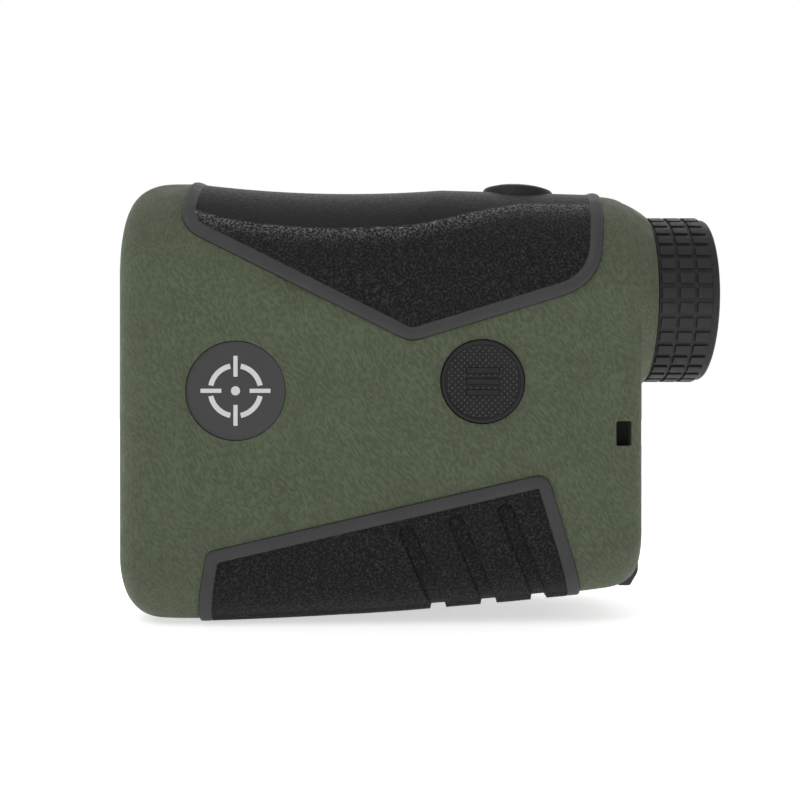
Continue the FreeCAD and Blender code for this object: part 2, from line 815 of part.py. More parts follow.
def make_shells():
    skin = envelope(0.0).fuse(shoulder(0.0))
    body = skin.cut(interior())
    beds = grip_bed(top_grip_corners()).fuse(grip_bed(bottom_grip_corners()))
    body = body.cut(shell_cutters()).cut(beds)
    far = Part.makeBox(140, 40, 120, FreeCAD.Vector(-70, 0, -10))
    near = Part.makeBox(140, 40, 120, FreeCAD.Vector(-70, -40, -10))
    left = body.common(near).cut(screw_holes(-1))
    left = left.cut(board_screw_holes())
    right = body.common(far).cut(screw_holes(1))
    feature("left_shell", largest(left))
    feature("right_shell", largest(right))


def board_screw_holes():
    holes = []
    for x, z in BOARD_POSTS:
        start = FreeCAD.Vector(float(x), -float(WALL_AT_BUTTON) + 5.6, float(z))
        holes.append(Part.makeCylinder(0.61, 3.4, start, FreeCAD.Vector(0, -1, 0)))
    return holes[0].fuse(holes[1])


def largest(shape):
    """The one solid that a boolean should leave, without crumbs."""
    return max(shape.Solids, key=lambda solid: solid.Volume)


def grip_bed(corners):
    """The recess that a grip lies in: as deep as its seat, and open outwards."""
    outline = slab_y(flat_outline(corners))
    return outline.cut(envelope(-float(d.grip_seat)))


def grip_skin(offset, sink, with_saddle):
    """The grip's outer form at an offset; the upper grip also carries the saddle."""
    skin = envelope(offset)
    return skin.common(saddle(sink)) if with_saddle else skin.common(above_underside(0.0, 60.0))


def make_grip(corners, radii, with_saddle):
    """A grip of raised rim and sunk panel; the lower one has a flush sole to stand on."""
    proud = float(d.grip_proud)
    low = proud - float(d.panel_sink)
    gap = float(d.joint_gap)
    outline = slab_y(flat_outline(inset_corners(corners, gap, [corner[2] for corner in corners])))
    panel = slab_y(flat_outline(inset_corners(corners, float(d.border), radii)))
    rim = grip_skin(proud, 0.0, with_saddle).common(outline.cut(panel))
    field = grip_skin(low, float(d.panel_sink), with_saddle).common(panel)
    solid = rim.fuse(field)
    if not with_saddle:
        sole = above_underside(-1.0, 1.9).common(outline).common(grip_skin(proud, 0.0, False))
        solid = solid.fuse(sole)
    return solid.cut(envelope(gap - float(d.grip_seat)))


def make_top_grip():
    radii = (0, 3.4, 1.8, 7.0, 0)
    solid = make_grip(top_grip_corners(), radii, True)
    hole = tilted_rod(float(d.power_radius) + float(d.slip), 2.6, 14.0)
    feature("top_grip", largest(solid.cut(hole)))


def make_bottom_grip():
    solid = make_grip(bottom_grip_corners(), (0.01, 0, 0, 0.01), False)
    floor = envelope(float(d.grip_proud) - float(d.panel_sink) - float(d.finger_depth))
    for index in range(3):
        groove = slab_y(finger_groove(index)).cut(floor)
        solid = solid.cut(groove)
    feature("bottom_grip", largest(solid))


def make_front_bezel():
    skin = envelope(-float(d.bezel_sink))
    panel = skin.common(bezel_outline(0.0))
    hood = Part.makeCylinder(float(d.hood_radius), 20, FreeCAD.Vector(float(FRONT) - 5, 0, float(AXIS)),
                             FreeCAD.Vector(1, 0, 0))
    window = Part.makeCylinder(float(d.emitter_radius) + 0.3, 20,
                               FreeCAD.Vector(float(FRONT) - 5, 0, float(LASER_AXIS)),
                               FreeCAD.Vector(1, 0, 0))
    feature("front_bezel", largest(panel.cut(hood.fuse(window))))


# ---------------------------------------------------------------- objective and laser optics
def lens(name, radius, front, rear, front_curve, rear_curve, axis_height):
    """A round lens between two edge planes; each face bulges by its sphere (0 for flat).

    A positive curve is convex outwards; a negative one is hollow.
    """
    def sag(curve):
        size = abs(float(curve))
        return size - math.sqrt(size * size - float(radius) ** 2)

    extra_front = sag(front_curve) if front_curve > 0 else 0.0
    extra_rear = sag(rear_curve) if rear_curve > 0 else 0.0
    blank = rod(name + "_blank", radius, rear - front + extra_front + extra_rear,
                (front - extra_front, 0, axis_height))
    result = blank
    if front_curve > 0:
        face = ball(name + "_front", front_curve, (front - extra_front + front_curve, 0, axis_height))
        result = common(name + "_ground", result, face)
    if rear_curve > 0:
        face = ball(name + "_rear", rear_curve, (rear + extra_rear - rear_curve, 0, axis_height))
        result = common(name + "_polished", result, face)
    if front_curve < 0:
        depth = sag(front_curve)
        face = ball(name + "_hollow", -front_curve, (front + depth + front_curve, 0, axis_height))
        result = cut(name + "_dished", result, [face])
    result.Label = name
    return result


def make_objective():
    seat = FRONT + 4.9                        # front edge of the lens stack
    lens("objective_crown", d.objective_radius, seat + 0.3, seat + 2.6, 52.0, 40.0, AXIS)
    lens("objective_flint", d.objective_radius, seat + 2.65, seat + 5.6, -40.0, 0, AXIS)
    bore = d.objective_radius + 0.05
    turned("objective_barrel", [
        (3.9, bore), (3.9, 12.9), (5.1, 12.9), (5.1, d.barrel_radius),
        (d.barrel_length + 2.3, d.barrel_radius), (d.barrel_length + 2.3, 15.0),
        (d.barrel_length + 3.9, 15.0), (d.barrel_length + 3.9, 8.2),
        (12.5, 10.2), (10.55, 10.2), (10.55, bore),
    ], (FRONT + 1.3, 0, AXIS))
    turned("objective_retainer", [
        (0, 10.3), (0, bore - 0.02), (0.9, bore - 0.02), (0.9, 10.3),
    ], (seat - 0.87, 0, AXIS))


def make_laser():
    start = FRONT + 5.2
    inner = d.emitter_radius + 0.05
    lens("emitter_lens", d.emitter_radius, start + 0.95, start + 3.0, 30.0, 0, LASER_AXIS)
    turned("emitter_tube", [
        (0, inner), (0, d.emitter_tube_radius), (d.emitter_tube_length, d.emitter_tube_radius),
        (d.emitter_tube_length, 4.0), (d.emitter_tube_length - 1.2, 4.0),
        (d.emitter_tube_length - 1.2, 6.4), (3.1, 6.4), (3.1, inner),
    ], (start, 0, LASER_AXIS))
    turned("emitter_retainer", [
        (0, 6.3), (0, inner - 0.02), (0.7, inner - 0.02), (0.7, 6.3),
    ], (start + 0.05, 0, LASER_AXIS))
    back = start + d.emitter_tube_length
    turned("laser_diode", [
        (-2.2, 0), (-2.2, 2.3), (0.05, 2.3), (0.05, 2.8), (1.3, 2.8), (1.3, 0),
    ], (back + 0.05, 0, LASER_AXIS))
    prism("laser_board", "YZ_Plane", [(-7, -6), (7, -6), (7, 6), (-7, 6)], d.board_thick,
          (back + 1.4, 0, LASER_AXIS), centred=False)


def make_prism_block():
    front = FRONT + 5.25 + d.barrel_length
    base = AXIS - d.housing_height / 2
    wall = d.housing_wall
    half = HOUSING_HALF
    outer = block("housing_block", d.housing_length, half * 2, d.housing_height, (front, -half, base))
    pocket = block("housing_pocket", d.housing_length - wall * 2, half * 2, d.housing_height - wall * 2,
                   (front + wall, wall - half, base + wall))
    entry = rod("housing_entry", 8.0, wall + 2, (front - 1, 0, AXIS))
    leave = rod("housing_exit", 6.5, wall + 2, (front + d.housing_length - wall - 1, 0, AXIS))
    port = rod("housing_port", 3.2, wall + 2, (front + 12, 0, base - 1), "z")
    pilots = [rod(f"housing_pilot_{number}", 0.61, 4, (front + x, half - 3.2, base + z), "y")
              for number, (x, z) in enumerate(cover_screw_spots(), start=1)]
    cut("prism_housing", outer, [pocket, entry, leave, port] + pilots)
    low = d.cover_inset
    high = d.housing_height - d.cover_inset
    prism("prism_cover", "XZ_Plane", [
        (0, low), (d.housing_length, low), (d.housing_length, high), (0, high),
    ], d.cover_thick, (front, half + d.cover_thick + 0.05, base),
          [((x, z), 0.65) for x, z in cover_screw_spots()], centred=False)
    middle = front + d.housing_length / 2
    width = (half - wall - d.prism_play) * 2
    tall = d.housing_height / 2 - wall - 0.3
    prism("half_penta_prism", "XZ_Plane", [
        (-11.3, tall - 0.6), (-11.3, -5.5), (-7.5, -tall), (-1.6, -tall), (5.4, tall - 0.6),
    ], width, (middle, 0, AXIS))
    prism("roof_prism", "XZ_Plane", [
        (-1.0, -tall), (11.3, -tall), (11.3, 4.0), (6.9, tall - 0.6), (6.0, tall - 0.6),
    ], width, (middle, 0, AXIS))
    prism("prism_clip", "XZ_Plane", [
        (-10, tall - 0.55), (9, tall - 0.55), (9, tall - 0.3), (0.4, tall - 0.3), (0, tall + 0.2),
        (-0.4, tall - 0.3), (-10, tall - 0.3),
    ], 7, (middle, 0, AXIS))
    apd = (front + 12, 0)
    turned("apd_detector", [
        (0, 0), (0, 4.6), (0.7, 4.6), (0.7, 4.0), (4.2, 4.0), (4.2, 0),
    ], (apd[0], 0, base - 4.3), "z")
    prism("apd_board", "XY_Plane", [(-9, -8), (9, -8), (9, 8), (-9, 8)], d.board_thick,
          (apd[0], 0, base - 4.35 - d.board_thick), centred=False)
    screws = []
    for number, (x, z) in enumerate(cover_screw_spots(), start=1):
        shank = rod(f"cover_screw_{number}_shank", 0.6, 4.4, (front + x, half - 3.1, base + z), "y")
        head = rod(f"cover_screw_{number}_head", 1.1, 0.7, (front + x, half + d.cover_thick + 0.07, base + z),
                   "y")
        screws.append(joined(f"cover_screw_{number}", [shank, head]))
    grouped("cover_screws", screws)


def cover_screw_spots():
    """Screw places on the prism cover, measured from its lower front corner."""
    edge = d.housing_wall / 2
    return [(x, z) for x in (edge, d.housing_length - edge) for z in (ZERO + 3.2, d.housing_height - 3.2)]


# ---------------------------------------------------------------- display and electronics
def make_display():
    start = FRONT + 5.3 + d.barrel_length + d.housing_length
    half = d.lcd_size / 2
    outer = block("display_outer", 3.4, half * 2 + 4, half * 2 + 5, (start, -half - 2, AXIS - half - 2.5))
    bed = block("display_bed", 3.4, half * 2 + 0.2, half * 2 + 0.2, (start + 1.2, -half - 0.1, AXIS - half - 0.1))
    window = rod("display_window", 6.2, 6, (start - 1, 0, AXIS))
    cut("display_frame", outer, [bed, window])
    block("display_lcd", d.lcd_thick, half * 2, half * 2, (start + 1.25, -half, AXIS - half))
    tail = start + 1.25 + d.lcd_thick + 1.1
    inner_face = WALL_AT_BUTTON - 5.47 - d.board_thick
    prism("display_flex", "YZ_Plane", [
        (-2, 2 - half), (-2, -15), (0.5 - inner_face, -15), (0.5 - inner_face, -12), (-6, -12), (-6, 2 - half),
    ], 0.2, (tail, 0, AXIS), centred=False)
    block("flex_connector", 3, 1.2, 4.4, (tail - 3.05, 0.05 - inner_face, AXIS - 15.6))


def make_main_board():
    face = WALL_AT_BUTTON - 5.5
    length = BOARD_REAR - BOARD_FRONT
    height = BOARD_TOP - BOARD_BASE
    prism("main_board", "XZ_Plane", [(0, 0), (length, 0), (length, height), (0, height)], d.board_thick,
          (BOARD_FRONT, d.board_thick - face, BOARD_BASE),
          [((x - BOARD_FRONT, z - BOARD_BASE), 0.75) for x, z in BOARD_POSTS], centred=False)
    inner = d.board_thick - face + 0.02
    chips = []
    for number, (x, z, length, height, thick) in enumerate((
            (10.5, 4.0, 8.0, 8.0, 1.2), (21.5, 2.5, 5.0, 4.0, 0.9), (27.5, 2.5, 4.0, 4.0, 1.0),
            (3.0, 9.0, 3.2, 1.6, 1.1), (14.0, 13.2, 3.2, 1.6, 0.8)), start=1):
        chips.append(block(f"chip_{number}", length, thick, height, (BOARD_FRONT + x, inner, BOARD_BASE + z)))
    grouped("board_chips", chips)
    screws = []
    for number, (x, z) in enumerate(BOARD_POSTS, start=1):
        shank = rod(f"board_screw_{number}_shank", 0.6, 4.2, (x, -face - 2.9, z), "y")
        head = rod(f"board_screw_{number}_head", 1.3, 0.8, (x, inner, z), "y")
        screws.append(joined(f"board_screw_{number}", [shank, head]))
    grouped("board_screws", screws)


def make_mode_button():
    """Cap, switch and plunger; local X runs outwards, from the board's outer face."""
    face = WALL_AT_BUTTON - 5.5
    foot = (BUTTON_X, -face, BUTTON_Z)
    outer = WALL_AT_BUTTON + d.mode_proud - face
    under = WALL_AT_BUTTON - d.wall - d.flange_play - face
    flange = d.mode_radius + d.flange_reach
    field = outer - d.mode_field_sink
    turned("mode_button", [
        (under - d.flange_thick, 0), (under - d.flange_thick, flange), (under, flange),
        (under, d.mode_radius), (outer - 0.2, d.mode_radius), (outer, d.mode_radius - 0.2),
        (outer, d.mode_radius - d.mode_lip), (field, d.mode_radius - d.mode_lip - 0.15), (field, 0),
    ], foot, "-y")
    switch_set("mode", foot, "-y", under - d.flange_thick, None)


def switch_set(word, foot, axis, reach, tilt):
    """A tact switch on its board: a square body with a bore, and the plunger under the cap."""
    body_top = reach - 0.7
    side = d.switch_half
    radius = d.plunger_radius
    prism(f"{word}_switch", "YZ_Plane", [(-side, -side), (side, -side), (side, side), (-side, side)],
          body_top - 0.02, foot, [((ZERO, ZERO), radius + 0.06)], centred=False, axis=axis, tilt=tilt)
    turned(f"{word}_plunger", [
        (body_top - 0.1, 0), (body_top - 0.1, radius), (reach - 0.02, radius), (reach - 0.02, 0),
    ], foot, axis, tilt)


def make_power_button():
    """Domed cap on the crown, leaning with the crown's slope, over its own small board."""
    foot = (POWER_X, 0, POWER_BASE)
    tilt = d.power_tilt
    under = POWER_FLANGE + d.flange_thick
    flange = d.power_radius + d.flange_thick
    crown = 5.05 + d.wall
    turned("power_button", [
        (POWER_FLANGE, 0), (POWER_FLANGE, flange), (under, flange), (under, d.power_radius),
        (crown, d.power_radius),
        (crown + d.power_dome * 0.4, d.power_radius - 0.3),
        (crown + d.power_dome * 0.74, d.power_radius * 0.74),
        (crown + d.power_dome * 0.93, d.power_radius * 0.4),
        (crown + d.power_dome, 0),
    ], foot, "z", tilt)
    thick = 0.7
    prism("power_board", "YZ_Plane", [(-6, -5), (6, -5), (6, 5), (-6, 5)], thick, foot, centred=False,
          axis="z", tilt=tilt)
    lean = math.radians(float(tilt))
    rise = thick + 0.02
    lift = (POWER_X + rise * math.sin(lean), 0, POWER_BASE + rise * math.cos(lean))
    switch_set("power", lift, "z", POWER_FLANGE - rise, tilt)


def make_badge():
    face = WALL_AT_BADGE - d.badge_sink
    rod("badge_disc", d.badge_radius, d.badge_thick, (BADGE_X, -face, BADGE_Z), "y")


def lanyard_block_box():
    """Lowest corner and size of the lanyard insert."""
    outer = WALL_AT_LANYARD - d.wall - 0.05
    floor = WALL_AT_LANYARD - d.lanyard_depth
    low = (LANYARD_X - d.lanyard_width / 2 - 2, -outer, LANYARD_Z - d.lanyard_height / 2 - 1.2)
    return low, (d.lanyard_width + 2.2, outer - floor + 1.6, d.lanyard_height + 2.4)


def make_lanyard_insert():
    """Block behind the wall that gives the cord passage its floor and its inner end."""
    low, size = lanyard_block_box()
    base = block("lanyard_block", *size, low)
    passage = block("lanyard_passage", 14, size[1] - 0.6, d.lanyard_height,
                    (low[0] + 2, low[1] - 1, low[2] + 1.2))
    cut("lanyard_insert", base, [passage])


# ---------------------------------------------------------------- eyepiece
def make_eyepiece():
    root = REAR - 12.3
    outer = d.sleeve_outer
    inner = d.sleeve_inner
    end = RING_END - 4.1 - root
    neck = RING_START - d.ring_neck
    pin_x = RING_START + 2.3
    sleeve = turned("eyepiece_sleeve_tube", [
        (0, inner), (0, outer + 2.0), (2.3, outer + 2.0), (2.3, outer), (end - 1.1, outer), (end - 1.1, outer - 0.5),
        (end - 0.3, outer - 0.5), (end - 0.3, outer), (end, outer), (end, inner),
    ], (root, 0, AXIS))
    slot_half = d.cell_travel + d.pin_radius + 0.1
    slot = block("sleeve_slot", slot_half * 2, d.pin_radius * 2 + 0.1, 4,
                 (pin_x - slot_half, -d.pin_radius - 0.05, AXIS - outer - 1))
    cut("eyepiece_sleeve", sleeve, [slot])
    core = d.ring_core_radius
    collar = d.neck_radius
    seat = collar - 0.55          # floor of the seal's groove
    mouth = core - 0.45           # bore of the ring behind its clip
    bore = outer + d.running_fit
    groove = d.cell_travel + d.pin_radius + 0.15
    at = pin_x - neck
    length = RING_END - d.eyecup_length + 0.6 - neck
    clip = end - 1.1 + root - neck
    turned("diopter_ring", [
        (0, bore), (0, collar), (0.9, collar), (0.9, seat), (1.9, seat), (1.9, collar),
        (d.ring_neck - 0.1, collar), (d.ring_neck - 0.1, core), (length, core), (length, mouth),
        (clip - 0.1, mouth), (clip - 0.1, bore), (at + groove, bore), (at + groove, bore + 0.75),
        (at - groove, bore + 0.75), (at - groove, bore),
    ], (neck, 0, AXIS))
    seal = doc.addObject("Part::Torus", "ring_seal")
    bind(seal, "Radius1", seat + d.seal_section + 0.03)
    bind(seal, "Radius2", d.seal_section)
    place(seal, (neck + 1.4, 0, AXIS), "-z")
    turned("ring_clip", [
        (0, outer - 0.45), (0, mouth - 0.15), (0.7, mouth - 0.15), (0.7, outer - 0.45),
    ], (root + end - 1.05, 0, AXIS))
    make_ring_sleeve(core + 0.01)
    cup = RING_END - d.eyecup_length
    brim = d.sleeve_base_radius
    turned("eyecup", [
        (0.02, core + 0.01), (0.02, brim), (d.eyecup_length - 0.35, brim),
        (d.eyecup_length - 0.1, brim - 0.13), (d.eyecup_length, brim - 0.4),
        (d.eyecup_length, brim - 2.4), (d.eyecup_length - 0.3, brim - 3.0),
        (0.75, d.eyecup_opening), (0.2, d.eyecup_opening),
        (0.2, mouth - 0.05), (0.62, mouth - 0.05), (0.62, core + 0.01),
    ], (cup, 0, AXIS))
    make_cell(pin_x)


def make_ring_sleeve(inner):
    """Rubber sleeve with rows and columns of raised pads."""
    length = RING_END - d.eyecup_length - RING_START
    blank = turned("ring_sleeve_blank", [
        (0, inner), (0, d.sleeve_base_radius), (d.pad_start, d.sleeve_base_radius),
        (d.pad_start, d.pad_radius), (length - 0.05, d.pad_radius),
        (length - 0.05, d.sleeve_base_radius), (length, d.sleeve_base_radius), (length, inner),
    ], (RING_START, 0, AXIS))
    rows = int(float(d.pad_rows))
    gap = float(d.pad_gap)
    base = float(d.sleeve_base_radius)
    grooves = []
    for row in range(rows):
        groove = Part.makeBox(20, gap, 3, FreeCAD.Vector(float(RING_START) - 5, -gap / 2, base))
        groove.rotate(FreeCAD.Vector(0, 0, 0), FreeCAD.Vector(1, 0, 0), 360.0 * (row + 0.5) / rows)
        groove.translate(FreeCAD.Vector(0, 0, float(AXIS)))
        grooves.append(groove)
    for column in range(int(float(d.pad_columns)) - 1):
        start = float(RING_START) + float(d.pad_start) + float(d.pad_length) + float(d.pad_pitch) * column
        width = float(d.pad_pitch) - float(d.pad_length)
        foot = FreeCAD.Vector(start, 0, float(AXIS))
        ring = Part.makeCylinder(20, width, foot, FreeCAD.Vector(1, 0, 0))
        ring = ring.cut(Part.makeCylinder(base, width, foot, FreeCAD.Vector(1, 0, 0)))
        grooves.append(ring)
    tool = feature("ring_sleeve_grooves", Part.makeCompound(grooves[:rows]))
    rings = feature("ring_sleeve_rings", Part.makeCompound(grooves[rows:]))
    striped = cut("ring_sleeve_striped", blank, [rings])
    cut("ring_sleeve", striped, [tool])


def make_cell(pin_x):
    start = REAR - 8.3
    outer = d.cell_radius
    eye = d.eye_lens_radius
    field = d.field_lens_radius
    length = RING_END - 3.3 - start
    cell = turned("eyepiece_cell_turned", [
        (0, 7.6), (0, outer), (length, outer), (length, eye + 0.05), (length - 5.6, eye + 0.05),
        (length - 5.6, field + 0.05), (1.0, field + 0.05), (1.0, 7.6),
    ], (start, 0, AXIS))
    pin_hole = rod("cell_pin_hole", d.pin_radius + 0.01, 3, (pin_x, 0, AXIS - 13.2), "z")
    cut("eyepiece_cell", cell, [pin_hole])
    lens("field_lens", field, start + 1.05, start + 4.0, 0, 24.0, AXIS)
    turned("lens_spacer", [
        (0, field - 1.0), (0, field), (length - 12.4, field), (length - 12.4, field - 1.0),
    ], (start + 6.1, 0, AXIS))
    lens("eye_lens", eye, start + length - 5.25, start + length - 1.3, 22.0, 34.0, AXIS)
    turned("eye_retainer", [
        (0, eye - 0.8), (0, eye + 0.03), (0.9, eye + 0.03), (0.9, eye - 0.8),
    ], (start + length - 1.0, 0, AXIS))
    rod("drive_pin", d.pin_radius, 2.3, (pin_x, 0, AXIS - 13.1), "z")


# ---------------------------------------------------------------- battery bay
def make_battery_bay():
    height = d.battery_height
    rear = BATTERY_REAR
    radius = d.battery_radius
    turned("battery", [
        (0, 0), (0, 3.2), (0.9, 3.2), (0.9, radius - 0.6), (1.5, radius),
        (d.battery_length - 0.4, radius), (d.battery_length, radius - 0.4), (d.battery_length, 0),
    ], (BATTERY_FRONT, 0, height))
    bore = radius + 0.2
    turned("battery_tube", [
        (-3.0, 2.0), (-3.0, bore + d.tube_wall), (d.battery_length + 1.6, bore + d.tube_wall),
        (d.battery_length + 1.6, bore), (-1.8, bore), (-1.8, 2.0),
    ], (BATTERY_FRONT, 0, height))
    prism("blind_contact", "XZ_Plane", [
        (-1.75, -5), (-1.5, -5), (-1.5, 2.6), (-0.3, 0.6), (-0.3, -0.8), (-0.05, -0.8), (-0.05, 0.75),
        (-1.5, 3.15), (-1.5, 4), (-1.75, 4),
    ], 4, (BATTERY_FRONT, 0, height))
    turned("door_gasket", [
        (0, bore + d.tube_wall + 0.2), (0, bore + d.tube_wall + 1.0), (0.35, bore + d.tube_wall + 1.0),
        (0.35, bore + d.tube_wall + 0.2),
    ], (DOOR_INNER - 0.48, 0, height))
    reach = DOOR_INNER - rear - 0.12
    prism("door_contact", "XZ_Plane", [
        (0, -5), (0, 5), (-0.25, 5), (-0.25, 3.4), (-reach, 1.2), (-reach, -1.2), (0.25 - reach, -1.2),
        (0.25 - reach, 1.05), (-0.25, 2.9), (-0.25, -5),
    ], 5, (DOOR_INNER - 0.02, 0, height))
    make_door()


def make_door():
    panel = door_profile(0.0)
    pivot = FreeCAD.Vector(float(HINGE_X), 0, float(d.hinge_height))
    knuckle = float(d.knuckle_radius)
    across = FreeCAD.Vector(0, 1, 0)
    half = float(d.door_half_width)
    length = float(d.knuckle_length)
    for low in (-half, half - length):
        barrel = Part.makeCylinder(knuckle, length, pivot + across * low, across)
        panel = panel.fuse(barrel)
    bore = Part.makeCylinder(float(d.hinge_pin_radius) + 0.05, 2 * half + 2,
                             pivot - across * (half + 1), across)
    feature("battery_door", largest(panel.cut(bore)))
    reach = d.door_half_width + d.hinge_pin_reach
    rod("hinge_pin", d.hinge_pin_radius, reach * 2, (HINGE_X, -reach, d.hinge_height), "y")


def make_shell_screws():
    screws = []
    for number, (x, z) in enumerate(SHELL_SCREWS, start=1):
        shank = rod(f"shell_screw_{number}_shank", d.screw_radius - 0.02, 11.0, (x, -5.5, z), "y")
        head = rod(f"shell_screw_{number}_head", d.screw_head_radius, 1.4, (x, 5.02, z), "y")
        drive = rod(f"shell_screw_{number}_drive", 0.8, 1.4, (x, 5.72, z), "y")
        whole = joined(f"shell_screw_{number}_blank", [shank, head])
        screws.append(cut(f"shell_screw_{number}", whole, [drive]))
    grouped("shell_screws", screws)


NODES = (
    "left_shell", "right_shell", "top_grip", "bottom_grip", "front_bezel", "badge_disc", "lanyard_insert",
    "objective_barrel", "objective_crown", "objective_flint", "objective_retainer",
    "emitter_tube", "emitter_lens", "emitter_retainer", "laser_diode", "laser_board",
    "prism_housing", "prism_cover", "half_penta_prism", "roof_prism", "prism_clip", "cover_screws",
    "apd_detector", "apd_board", "display_frame", "display_lcd", "display_flex", "flex_connector",
    "main_board", "board_chips", "board_screws", "mode_button", "mode_switch", "mode_plunger",
    "power_button", "power_board", "power_switch", "power_plunger",
    "eyepiece_sleeve", "diopter_ring", "ring_seal", "ring_clip", "ring_sleeve", "eyecup",
    "eyepiece_cell", "drive_pin", "field_lens", "lens_spacer", "eye_lens", "eye_retainer",
    "battery", "battery_tube", "blind_contact", "door_contact", "door_gasket", "battery_door",
    "hinge_pin", "shell_screws",
)


def build():
    make_shells()
    make_top_grip()
    make_bottom_grip()
    make_front_bezel()
    make_badge()
    make_lanyard_insert()
    make_objective()
    make_laser()
    make_prism_block()
    make_display()
    make_main_board()
    make_mode_button()
    make_power_button()
    make_eyepiece()
    make_battery_bay()
    make_shell_screws()
    doc.recompute()


def check_and_write():
    faults = [thing.Name for thing in doc.Objects
              if "Invalid" in thing.State or "Error" in thing.State]
    if faults:
        raise RuntimeError("failed objects: " + ", ".join(faults))
    os.makedirs("parts", exist_ok=True)
    for node in NODES:
        thing = doc.getObjectsByLabel(node)[0]
        shape = thing.Shape
        if shape.isNull() or not shape.isValid():
            raise RuntimeError("bad shape: " + node)
        print(f"{node:20s} {len(shape.Solids)} solids {shape.Volume:10.2f} mm3")
        shape.exportStep(f"parts/{node}.step")


build()
check_and_write()
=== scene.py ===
"""Looks of the hand-held laser rangefinder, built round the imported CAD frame.

Axes as in the frame: +Z up, objective at -X, eyepiece at +X, mode button and badge on the -Y side.
Sizes are in millimetres and turned into metres by MM.
"""
import json
import math

import bmesh
import bpy
import numpy as np
from mathutils import Matrix, Vector
from mathutils.geometry import delaunay_2d_cdt

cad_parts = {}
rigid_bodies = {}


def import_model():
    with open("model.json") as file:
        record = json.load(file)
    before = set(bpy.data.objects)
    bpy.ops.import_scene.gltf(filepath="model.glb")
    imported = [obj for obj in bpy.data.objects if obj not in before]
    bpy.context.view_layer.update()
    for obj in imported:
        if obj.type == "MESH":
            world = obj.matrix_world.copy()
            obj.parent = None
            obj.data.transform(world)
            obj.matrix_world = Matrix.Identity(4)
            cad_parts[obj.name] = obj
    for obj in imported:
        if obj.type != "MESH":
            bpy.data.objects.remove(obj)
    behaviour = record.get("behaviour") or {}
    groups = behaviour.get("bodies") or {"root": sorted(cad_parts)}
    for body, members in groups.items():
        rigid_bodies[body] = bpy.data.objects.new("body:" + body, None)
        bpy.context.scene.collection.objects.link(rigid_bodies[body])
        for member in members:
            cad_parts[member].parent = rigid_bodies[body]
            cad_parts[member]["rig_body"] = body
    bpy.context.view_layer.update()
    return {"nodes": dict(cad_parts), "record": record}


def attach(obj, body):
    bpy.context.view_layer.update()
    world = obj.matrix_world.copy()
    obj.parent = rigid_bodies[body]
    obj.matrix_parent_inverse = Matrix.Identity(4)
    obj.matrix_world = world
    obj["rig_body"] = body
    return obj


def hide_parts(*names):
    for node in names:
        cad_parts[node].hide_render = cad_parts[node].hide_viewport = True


MM = 0.001      # metres in a millimetre
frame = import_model()
scene = bpy.context.scene
nodes = frame["nodes"]
SLOT_OF = {part["node"]: part["material_slot"] for part in frame["record"]["subparts"]}
BODY_OF = {name: node["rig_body"] for name, node in nodes.items()}


# ---------------------------------------------------------------- materials
NOISE_LOW, NOISE_HIGH = 0.3, 0.7        # most of a noise texture's values lie between these
PIT = (0.008, 0.008, 0.008)             # the black at the bottom of the grips' grain


